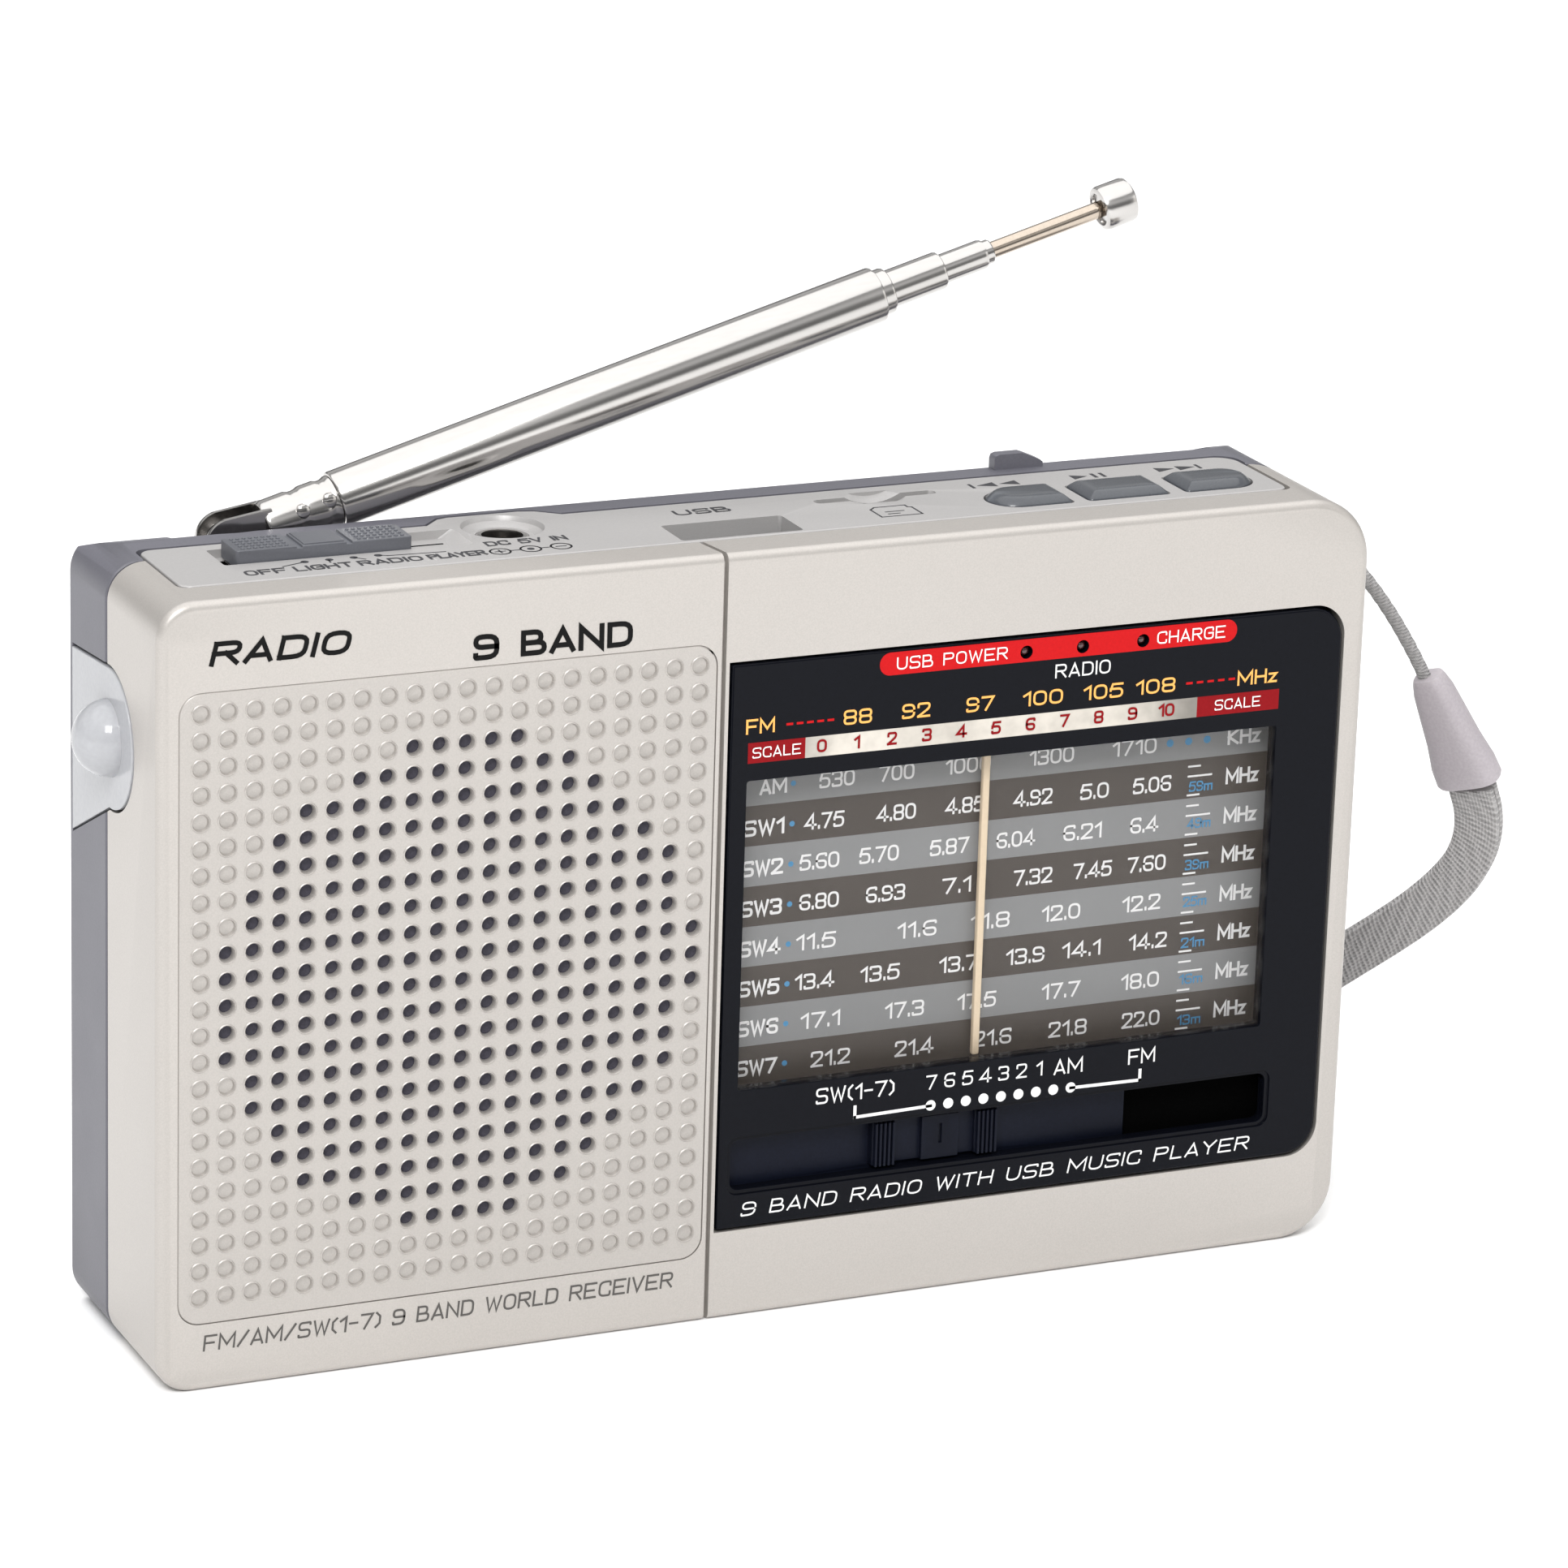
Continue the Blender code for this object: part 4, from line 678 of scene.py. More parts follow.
def wheel_slots(into):
    y0, y1 = WHEEL_Y
    for _, z, radius in (TUNING, VOLUME):
        reach = (radius**2 - (radius - 0.9 - WALL) ** 2) ** 0.5
        prism("X", rounded(*grown((y0, z - reach, y1, z + reach), 0.5), 1.2, 5), RIGHT - 3, RIGHT + 1, into)


def half_shell(name, face, edge, look, node):
    """One half of the case, rounded towards its face, and stepped in where it meets the other half."""
    way = 1 if face > SEAM else -1
    layers = [(SEAM + way * depth, case_outline(inset)) for depth, inset in SEAM_LIP]
    for t in (pi / 2 * i / 6 for i in range(7)):
        layers.append((face - way * edge * (1 - sin(t)), case_outline(edge * (1 - cos(t)))))
    return piece(name, loft("Y", layers[::way]), look, "case", (node,))


def top_openings():
    """Room for the top panel and the thumbwheels."""
    openings = prism("Z", panel_outline(PANEL_GAP), TOP - PANEL_THICK - 2.2, TOP + 1)
    wheel_slots(openings)
    return openings


def front_shell():
    shell = half_shell("front_shell", FRONT, 0.9, SILVER, "front_cover")
    deep = (FRONT - 1, FRONT + WALL + 0.1)
    openings = prism("Y", rounded(*grown(GRILLE_PLATE, 0.04), GRILLE_CORNER, 8), *deep)
    prism("Y", rounded(*grown(BEZEL, GAP / 2), (0, BEZEL_CORNER, BEZEL_CORNER, 0), 12), *deep, openings)
    tops = top_openings()
    left, right, groove_y = SEAM_LINE_X - 0.25, SEAM_LINE_X + 0.25, FRONT + 0.9
    groove = block((left, FRONT - 1, -1), (right, groove_y, TOP - 0.9))
    back = PANEL[1] + 0.2
    groove_top = prism("Z", [(left, FRONT - 1), (right, FRONT - 1), (right, groove_y), (right - 0.75, back),
                             (left - 0.75, back), (left, groove_y)], TOP - 1.0, TOP + 1)
    carve(shell, (CUT, prism("Y", case_outline(WALL), FRONT + WALL, SEAM + 1)), (CUT, openings), (CUT, tops),
          (CUT, groove), (CUT, groove_top), *torch_cuts(), bevel=0.12)


def seam_strip():
    """Near-black band recessed between the two halves of the case: a painted shade in the seam."""
    strip = piece("seam_shade", prism("Y", case_outline(0.3), SEAM - 0.23, SEAM + 0.23), PAINTED_SHADE, "case")
    inside = prism("Y", case_outline(1.2), SEAM - 1, SEAM + 1)
    carve(strip, (CUT, inside), (CUT, top_openings()), *torch_cuts())


def rear_shell():
    shell = half_shell("rear_shell", REAR, 0.5, SLATE, "rear_cover")
    web = [(STEP_Y - WALL, TOP - 1.0), (STEP_Y - WALL, STEP_Z - WALL), (REAR - 1.0, STEP_Z - WALL - 1.6),
           (REAR - 1.0, TOP - 1.0)]
    bay = block((BATTERY[0] - 5.4, 4.4, BATTERY[1] - 5.4), (BATTERY[2] + 5.4, REAR - 0.6, BATTERY[3] + 5.4))
    posts = bmesh.new()
    for spot in SCREWS:
        turned("Y", spot, ((3.4, SEAM + GAP), (3.4, REAR - 1)), 24, posts)
    beyond = REAR + 1
    ledge = prism("X", [(STEP_Y, TOP + 2), (STEP_Y, STEP_Z + 1.0), (STEP_Y + 0.3, STEP_Z + 0.3),
                        (STEP_Y + 1.0, STEP_Z), (REAR - 0.9, STEP_Z), (beyond, STEP_Z - 1.6), (beyond, TOP + 2)],
                  *STEP_X)
    sloping_top = prism("X", [(STEP_Y - 0.4, TOP + 0.01), (STEP_Y + 1.5, TOP - 0.35), (REAR - 0.6, TOP - 1.35),
                              (beyond, TOP - 2.2), (beyond, TOP + 2), (STEP_Y, TOP + 2)], LEFT - 1, RIGHT + 1)
    cuts = prism("Z", panel_outline(PANEL_GAP), TOP - PANEL_THICK - 1.0, TOP + 1)
    block((BATTERY[0] - 0.8, 5.8, BATTERY[1] - 0.8), (BATTERY[2] + 0.8, REAR + 1, BATTERY[3] + 0.8), cuts)
    for spot in SCREWS:
        turned("Y", spot, ((1.4, SEAM - 1), (1.4, REAR - 4.0), (2.5, REAR - 4.0), (2.5, REAR + 1)), 32, cuts)
    turned("X", PHONES, ((2.9, RIGHT - 3), (2.9, RIGHT + 1)), 32, cuts)
    loop_hole = rounded(STRAP_Y - 2.6, STRAP_Z - 3.2, STRAP_Y + 2.6, STRAP_Z + 3.2, 1.2, 6)
    prism("X", loop_hole, RIGHT - 2.9, RIGHT + 1, cuts)
    turned("Z", PIVOT[:2], ((1.0, STEP_Z - 2.6), (1.0, STEP_Z - 0.6), (2.2, STEP_Z - 0.6), (2.2, STEP_Z + 0.5),
                            (3.7, STEP_Z + 0.5), (3.7, TOP + 1)), 64, cuts)
    seat = prism("Y", rounded(*grown(BATTERY, DOOR_MARGIN), 1.5, 6), REAR - 1.9, REAR + 1)
    clip = [(x, TOP + up) for x, up in (
        (33.2, -1.5), (38.9, -1.5), (38.9, 0.5), (38.6, 0.75), (37.0, 1.45), (36.4, 1.65), (33.8, 1.65), (33.35, 1.5),
        (33.2, 1.1))]
    clip = prism("Y", clip, STEP_Y - 1.5, STEP_Y - 0.1)
    carve(shell, (CUT, prism("Y", case_outline(WALL), SEAM - 1, REAR - WALL)),
          (ADD, prism("X", web, STEP_X[0] - WALL, STEP_X[1] + WALL)), (ADD, bay), (ADD, posts), (CUT, ledge),
          (CUT, sloping_top), (CUT, cuts), (CUT, seat), *torch_cuts(), (ADD, clip), bevel=0.15)
    battery_lid()


def battery_lid():
    x0, z0, x1, z1 = grown(BATTERY, DOOR_MARGIN - GAP)
    door = piece("battery_lid", slab("Y", (x0, z0, x1, z1), REAR - 1.6, REAR, 0.25, 1.2, 6), SLATE, "battery_door",
                 ("battery_door",))
    middle = (z0 + z1) / 2
    ribs = bmesh.new()
    for right in (x1 - 4 - 1.8 * i for i in range(4)):
        prism("Y", rounded(right - 1, middle - 5, right, middle + 5, 0.48, 5), REAR - 0.3, REAR + 1, ribs)
    arrow = prism("Y", [(x0 + 5, middle - 2.2), (x0 + 8.8, middle), (x0 + 5, middle + 2.2)], REAR - 0.25, REAR + 1)
    carve(door, (CUT, ribs), (CUT, arrow), bevel=0.08)


def screws():
    for number, spot in enumerate(SCREWS, 1):
        head = piece(f"screw_{number}", turned("Y", spot, (
            (0.65, SEAM - 5), (0.65, REAR - 3.7), (2.2, REAR - 3.7), (2.2, REAR - 3.1), (2.05, REAR - 2.8),
            (1.5, REAR - 2.5), (0.7, REAR - 2.4)), 40), STEEL, "case", (f"case_screw_{number}",))
        x, z = spot
        cross = block((x - 1.3, REAR - 3.1, z - 0.28), (x + 1.3, REAR, z + 0.28))
        carve(head, (CUT, cross), (CUT, block((x - 0.28, REAR - 3.1, z - 1.3), (x + 0.28, REAR, z + 1.3))))


# ---- grille --------------------------------------------------------------------------------------------


def grille():
    """The perforated insert: open holes in the round patch, and shallow dimples everywhere else."""
    bm = bmesh.new()
    front, back = FRONT, FRONT + GRILLE_THICK
    rim = ((1.06, 0.0), (1.0, -0.09), (0.93, -0.12))
    hole = (*rim, (0.87, -0.04), (0.74, 0.3), (0.74, GRILLE_THICK))
    dimple = (*rim, (0.86, -0.02), (0.78, 0.3), (0.3, 0.4))
    shared = {}

    def vertex(x, y, z):
        key = (round(x, 3), round(y, 3), round(z, 3))
        if key not in shared:
            shared[key] = bm.verts.new((x, y, z))
        return shared[key]

    def cell_edge(x, z, depth):
        edge = []
        for a, b in circle(0, 0, 1, 16):
            reach = PITCH / 2 / max(abs(a), abs(b))
            edge.append(vertex(x + reach * a, depth, z + reach * b))
        return edge

    for column in range(GRILLE_COLUMNS):
        for row in range(GRILLE_ROWS):
            x, z = GRILLE_LEFT + column * PITCH, GRILLE_BOTTOM + row * PITCH
            through = hypot(column - SOUND_COLUMN, row - SOUND_ROW) <= SOUND_RADIUS
            border = cell_edge(x, z, front)
            for radius, depth in hole if through else dimple:
                inner = [bm.verts.new((a, front + depth, b)) for a, b in circle(x, z, radius, 16)]
                join_rings(bm, border, inner)
                border = inner
            behind = cell_edge(x, z, back)
            if through:
                join_rings(bm, border, behind)
            else:
                bm.faces.new(border)
                bm.faces.new(behind)
    x0, z0 = GRILLE_LEFT - PITCH / 2, GRILLE_BOTTOM - PITCH / 2
    x1, z1 = x0 + GRILLE_COLUMNS * PITCH, z0 + GRILLE_ROWS * PITCH
    outline = rounded(*GRILLE_PLATE, GRILLE_CORNER, 8)
    rings = []
    for depth, shape in ((front, rounded(*grown(GRILLE_PLATE, -0.12), 2.3, 8)), (back, outline)):
        edge = [bm.verts.new((a, depth, b)) for a, b in shape]
        border = [v for (x, y, z), v in shared.items()
                  if abs(y - depth) < 1e-3 and min(abs(x - x0), abs(x - x1), abs(z - z0), abs(z - z1)) < 2e-3]
        middle = Vector(((x0 + x1) / 2, depth, (z0 + z1) / 2))
        border.sort(key=lambda v: ring_place(v.co - middle, x1 - x0, z1 - z0))
        lines = [bm.edges.get((a, b)) or bm.edges.new((a, b))
                 for loop in (edge, border) for a, b in zip(loop, loop[1:] + loop[:1])]
        bmesh.ops.triangle_fill(bm, edges=lines, use_beauty=True, normal=(0, -1, 0))
        rings.append(edge)
    step = [bm.verts.new((a, front + 0.12, b)) for a, b in outline]
    join_rings(bm, rings[0], step)
    join_rings(bm, step, rings[1])
    piece("sound_grille", bm, SILVER, "case", ("speaker_grille",), sharp=38)
    patch = (GRILLE_LEFT + SOUND_COLUMN * PITCH, GRILLE_BOTTOM + SOUND_ROW * PITCH)
    piece("speaker_cloth", turned("Y", patch, ((27.5, back + 0.03), (27.5, back + 0.35)), 64), FELT, "case")


def ring_place(offset, width, height):
    """How far round a rectangle's border a point lies, starting from its lower right corner."""
    x, z = offset.x / width, offset.z / height
    if abs(x - 0.5) < 1e-3:
        return z + 0.5
    if abs(z - 0.5) < 1e-3:
        return 1.5 - x
    if abs(x + 0.5) < 1e-3:
        return 2.5 - z
    return 3.5 + x


# ---- dial ----------------------------------------------------------------------------------------------

ROW_TOP, ROW_STEP = 56.95, 4.39
# The dial's rows from the top: AM, then SW1 to SW7. Each is its metre band, and the place and text of every number.
ROWS = (
    (None, "7.9 530 14.7 700 22.9 1000 32.6 1300 42.3 1710"),
    ("59m", "6.6 4.75 14.8 4.80 22.7 4.85 30.6 4.92 37.8 5.0 44.6 5.06"),
    ("49m", "6.2 5.60 13.0 5.70 21.1 5.87 28.8 6.04 36.6 6.21 43.9 6.4"),
    ("39m", "6.3 6.80 13.9 6.93 22.1 7.1 31.0 7.32 38.0 7.45 44.4 7.60"),
    ("25m", "6.1 11.5 17.7 11.6 26.2 11.8 34.5 12.0 44.0 12.2"),
    ("21m", "6.1 13.4 13.6 13.5 22.7 13.7 30.5 13.9 37.1 14.1 45.0 14.2"),
    ("16m", "6.9 17.1 16.6 17.3 25.0 17.5 34.9 17.7 44.3 18.0"),
    ("13m", "8.2 21.2 17.9 21.4 27.0 21.6 35.9 21.8 44.6 22.0"),
)


def bezel():
    def outline(inset):
        corner = BEZEL_CORNER - inset
        return rounded(*grown(BEZEL, -GAP / 2 - inset), (0, corner, corner, 0), 12)

    through = (FRONT - 1, FRONT + 3)
    plate = piece("dial_frame", soft("Y", outline, FRONT - 0.1, FRONT + 1.6, 0.3), BLACK, "case", ("dial_bezel",))
    openings = prism("Y", rounded(*WINDOW, 0.3, 3), *through)
    prism("Y", rounded(*BAND_SLOT, 0.9, 6), *through, openings)
    for x in LED_X:
        prism("Y", circle(x, LED_Z, 0.75, 20), *through, openings)
    dish = prism("Y", rounded(*grown(BAND_SLOT, 0.45), 1.2, 6), FRONT - 1, FRONT + 0.2)
    carve(plate, (CUT, openings), (CUT, dish), bevel=0.08)
    status = flat_shapes("status_capsule", [capsule(10.5, 68.85, 51.7, 71.3)], RED_INK, BEZEL_FACE)
    eyes = bmesh.new()
    for x in LED_X:
        prism("Y", circle(x, LED_Z, 0.72, 24), FRONT - 1, FRONT + 1, eyes)
    carve(status, (CUT, eyes))
    bezel_marks()


def bezel_marks():
    low, high = 60.9, 63.1
    flat_shapes("scale_bar", [bar(2.4, low, 47.4, high)], SCALE_BAR, BEZEL_FACE)
    flat_shapes("scale_bar_ends", [bar(-4.0, low, 2.4, high), bar(47.4, low, 57.1, high)], DEEP_RED_INK, BEZEL_FACE)
    words = [("FM", -2.7, 64.85, 1.6, 3.2), ("MHz", 54.4, 64.7, 1.6, 4.7)]
    for text, x in (("88", 8.2), ("92", 14.8), ("97", 22.1), ("100", 29.3), ("105", 36.3), ("108", 42.4)):
        words.append((text, x, 64.8, 1.6, 3.2 if len(text) == 2 else 4.6))
    lettering("band_words", words, ORANGE_INK, BEZEL_FACE, 0.04)
    digits = [(str(i), 4.25 + 3.955 * i, 62.05, 1.4, None) for i in range(11)]
    lettering("scale_digits", digits, DEEP_RED_INK, BEZEL_FACE, 0.06, 0.18)
    words = [("SCALE", -0.8, 62.0, 1.15, 5.4), ("SCALE", 52.2, 62.0, 1.15, 5.4), ("RADIO", 33.8, 67.5, 1.5, 6.4),
             ("USB POWER", 18.7, 70.05, 1.35, 12.6), ("CHARGE", 46.3, 70.05, 1.35, 8.0),
             ("SW(1-7)", 9.4, 23.6, 1.75, 9.0), ("FM", 42.9, 23.6, 1.7, 3.2), ("AM", 34.2, 23.5, 1.7, 3.4)]
    words += [(str(7 - i), 18.2 + 2.1 * i, 23.6, 1.6, None) for i in range(7)]
    words.append(("9 BAND RADIO WITH USB MUSIC PLAYER", 26.6, 12.05, 1.55, 59.6, 0.2))
    lettering("frame_words", words, WHITE_INK, BEZEL_FACE, 0.05, 0.12)
    dots = [circle(18.2 + 2.05 * i, 21.0, 0.58, 20) for i in range(9)]
    lines = strokes(0.34, ((9.45, 21.9), (9.45, 20.75), (18.2, 20.95)), ((34.6, 20.95), (42.8, 20.85), (42.8, 21.95)))
    flat_shapes("selector_marks", dots + lines, WHITE_INK, BEZEL_FACE, 0.03)
    dashes = [bar(start + step * i, 64.6, start + step * i + 0.75, 64.85)
              for start, step in ((0.2, 1.15), (46.0, 1.25)) for i in range(5)]
    flat_shapes("band_dashes", dashes, RED_INK, BEZEL_FACE, 0.03)
    lettering("name_words", [("RADIO", -54.4, 77.9, 2.5, 14.5, 0.25), ("9 BAND", -25.6, 76.0, 2.7, 17.2)], NAME_INK,
              COVER_FACE, weight=0.2)
    lettering("front_words", [("FM/AM/SW(1-7) 9 BAND WORLD RECEIVER", -36.5, 5.2, 1.75, 51.5, 0.1)], FOOT_INK,
              COVER_FACE, 0.02, 0.13)


def capsule(x0, z0, x1, z1):
    return rounded(x0, z0, x1, z1, (z1 - z0) / 2 * 0.98, 10)


def scale_plate():
    plate = piece("scale_plate", slab("Y", (-5.6, 22.6, 63.0, 66.5), SCALE_Y, SCALE_Y + 0.6, 0.1, 0.6, 4, 2), PLATE,
                  "case", ("dial_scale_plate",))
    posts = bmesh.new()
    for x in (-1.0, 61.0):
        turned("Y", (x, 63.5), ((2.0, SCALE_Y + 0.3), (2.0, -7.4)), 32, posts)
    carve(plate, (ADD, posts))
    light, numbers, labels, blue, ticks = [], [], [], [], []
    for row, (metres, marks) in enumerate(ROWS):
        z = ROW_TOP - ROW_STEP * row
        label, unit = (f"SW{row}", "MHz") if row else ("AM", "KHz")
        marks = marks.split()
        if row % 2 == 0:
            light.append(bar(-5.4, z - 2.0, 58.6, z + 2.39))
        for x, text in zip(map(float, marks[::2]), marks[1::2]):
            numbers.append((text, x, z, 1.75, 0.5 + 1.17 * len(text.replace(".", "")) + 0.5 * ("." in text)))
        labels += [(label, 2.6 - 0.95 * len(label), z - 0.05, 1.75, 1.55 * len(label)), (unit, 55.3, z, 1.75, 3.9)]
        if metres:
            blue.append((metres, 50.4, z - (0.7 if row % 2 else 0.45), 1.15, 2.8))
            for up, end in ((1.55, 50.3), (0.45, 51.7), (-1.65, 50.3)):
                ticks.append(bar(48.8, z + up - 0.1, end, z + up + 0.1))
    flat_shapes("scale_rows", light, PLATE_LIGHT, SCALE_FACE)
    lettering("scale_numbers", numbers, WHITE_INK, SCALE_FACE, 0.05, 0.14)
    lettering("scale_labels", labels, WHITE_INK, SCALE_FACE, 0.05, 0.17)
    lettering("metre_labels", blue, BLUE_INK, SCALE_FACE, 0.05)
    spots = [circle(2.95, ROW_TOP - ROW_STEP * row, 0.3, 14) for row in range(8)]
    spots += [circle(x, ROW_TOP, 0.42, 14) for x in (46.5, 48.7, 50.9)]
    flat_shapes("scale_dots", spots, BLUE_INK, SCALE_FACE, 0.05)
    flat_shapes("metre_ticks", ticks, WHITE_INK, SCALE_FACE, 0.05)


def dial_parts():
    profile = [(radius, FRONT + depth) for radius, depth in (
        (0.12, 0.22), (0.3, 0.27), (0.45, 0.4), (0.55, 0.6), (0.55, 1.9), (0.9, 1.9), (0.9, 3.2))]
    for name, x in zip(("power_led", "radio_led", "charge_led"), LED_X):
        piece(f"{name}_lens", turned("Y", (x, LED_Z), profile, 24), LED_LOOK, "case", (name,))
    bar_y, left, right = SCALE_Y - 1.1, POINTER_X - 1.5, POINTER_X + 1.5
    pointer = piece("pointer_bar", slab("Y", (POINTER_X - 0.4, 24.9, POINTER_X + 0.4, 67.6), bar_y, SCALE_Y - 0.4,
                                        0.15, 0.2, 3, 3), CREAM, "pointer", ("dial_pointer",))
    bridge = block((left, bar_y, 66.9), (right, -7.4, 67.6))
    saddle = block((left, -7.6, 64.9), (right, -6.9, 67.6))
    carve(pointer, (ADD, bridge), (ADD, saddle))
    window = slab("Y", grown(WINDOW, -0.12), FRONT + 0.1, FRONT + 1.3, 0.1, 0.3, 3, 2)
    piece("window_pane", window, WINDOW_CLEAR, "case", ("dial_window",))
    drum = ((13.4, -8.9), (13.4, -8.65), (13.0, -8.5), (13.0, -8.1), (13.4, -7.95), (13.4, -7.6), (2.5, -7.6),
            (2.5, -7.1))
    piece("drive_drum", turned("Y", (20.0, 43.0), drum, 96), CREAM, "drum", ("capacitor_drum",))


def band_switch():
    _, z0, _, z1 = BAND_SLOT
    low, high = z0 + 0.35, z1 - 0.35
    deck = slab("Y", (-19.5, z0 - 1, 42.2, z1 + 1), FRONT + 2.1, FRONT + 2.8, 0.08, 0.3, 3, 2)
    knob = piece("band_slider_knob", deck, BLACK_SATIN, "band_slider", ("band_switch_knob",))
    # Near-black sheets behind the band slot, round the knob's travel: a painted shade for the dark inside of the
    # case.
    shade = bmesh.new()
    for outline in (bar(36.2, z0 - 1, 60.5, z1 + 1), bar(-5.5, z0 - 1, 36.1, 15.5), bar(-5.5, 18.4, 36.1, z1 + 1)):
        prism("Y", outline, FRONT + 3.1, FRONT + 3.3, shade)
    piece("band_slot_shade", shade, PAINTED_SHADE, "case")
    grips = [(14.2, 24.4, 1.55, 2.5), (17.8, 22.1, 0.95, 2.5)]
    for start in (12.1, 24.0):
        grips.append((start, start + 2.6, 1.05, 2.5))
        grips += [(x, x + 0.27, 0.5, 1.2) for x in (start + 0.15 + i * 0.5 for i in range(5))]
    grips = [(ADD, block((x, FRONT + near, low), (end, FRONT + far, high))) for x, end, near, far in grips]
    grips.append((ADD, block((17.2, FRONT + 2.3, 15.9), (19.2, -9.3, 18.0))))
    grips.append((CUT, block((19.8, FRONT + 0.6, 16.2), (20.15, FRONT + 1.3, 18.4))))
    carve(knob, *grips, bevel=0.06)


def wheels():
    for name, body, (x, z, radius), hub in (("tuning_knob", "tuning_wheel", TUNING, True),
                                            ("volume_knob", "volume_wheel", VOLUME, False)):
        teeth = int(radius * 6)

        def rim(reach):
            points = []
            for i in range(teeth):
                for share, dip in ((0.0, 0.0), (0.3, 0.0), (0.5, 0.28), (0.8, 0.28)):
                    turn = 2 * pi * (i + share) / teeth
                    points.append((x + (reach - dip) * cos(turn), z + (reach - dip) * sin(turn)))
            return points

        y0, y1 = WHEEL_Y
        bm = loft("Y", ((y0, rim(radius - 0.4)), (y0 + 0.4, rim(radius)), (y1 - 0.4, rim(radius)),
                               (y1, rim(radius - 0.4))))
        wheel = piece(f"{name}_wheel", bm, DARK, body, (name,))
        if hub:
            carve(wheel, (ADD, turned("Y", (x, z), ((8.0, -8.9), (8.0, y0 + 0.2)), 64)),
                  (ADD, turned("Y", (x, z), ((2.0, y1 - 0.2), (2.0, y1 + 2.4)), 32)))


# ---- top -----------------------------------------------------------------------------------------------


def button_outline(name, clearance=0.0):
    """Outline of a key, whose outer end is round."""
    x0, x1, round_end = BUTTONS[name]
    y0, y1 = BUTTON_Y
    left, right = ((y1 - y0) / 2 if end == round_end else BUTTON_CORNER for end in ("left", "right"))
    radii = tuple(max(r + clearance, 0.12) for r in (left, right, right, left))
    return rounded(*grown((x0, y0, x1, y1), clearance), radii, 8)


def top_plate():
    low = TOP - PANEL_THICK
    plate = piece("top_plate", soft("Z", lambda inset: panel_outline(-0.14 - inset), low, TOP + 0.02, 0.2, 3,
                                    both=False), PANEL_GREY, "case", ("top_panel",))
    openings = prism("Z", rounded(*USB, 0.4, 4), low - 1, TOP + 1)
    prism("Z", rounded(*CARD_SLOT, 0.6, 5), low - 1, TOP + 1, openings)
    turned("Z", JACK, ((JACK_HOLE + GAP, low - 1), (JACK_HOLE + GAP, TOP + 1)), 48, openings)
    for name in BUTTONS:
        prism("Z", button_outline(name, 0.2), low - 1, TOP + 1, openings)
    dish = turned("Z", JACK, ((3.3, TOP - 0.95), (3.6, TOP - 0.75), (4.15, TOP - 0.5), (4.4, TOP + 0.2),
                              (4.4, TOP + 1)), 64)
    x0, y0, x1, y1 = FUNCTION_RECESS
    recess = loft("Z", ((TOP - 0.9, rounded(x0, y0, x1 - 1.6, y1, 0.35, 4)),
                        (TOP + 0.15, rounded(x0, y0, x1, y1, 0.35, 4))))
    slot = block((x0 + 6, -1.6, low - 1), (x0 + 15.8, 0.9, TOP))
    x0, y0, x1, y1 = CARD_SLOT
    finger = turned("Y", ((x0 + x1) / 2, TOP + 5.6), ((6.0, y0 - 1.5), (6.5, y0 + 0.2), (6.5, y1 - 0.2),
                                                      (6.0, y1 + 1.3)), 96)
    carve(plate, (CUT, openings), (CUT, dish), (CUT, recess), (CUT, slot), (CUT, finger), bevel=0.1)
    # Near-black bars on the recess floor, at its left end and along the switch slot: a painted shade in these slits.
    floor_z = TOP - 0.91
    slit_shade = block((FUNCTION_RECESS[0] + 0.1, -1.5, floor_z), (FUNCTION_RECESS[0] + 1.5, 2.0, floor_z + 0.05))
    for y in (-0.5, 1.3):
        block((-36.6, y, floor_z), (-31.6, y + 0.25, floor_z + 0.05), slit_shade)
    piece("function_slot_shade", slit_shade, PAINTED_SHADE, "case")
    top_marks()


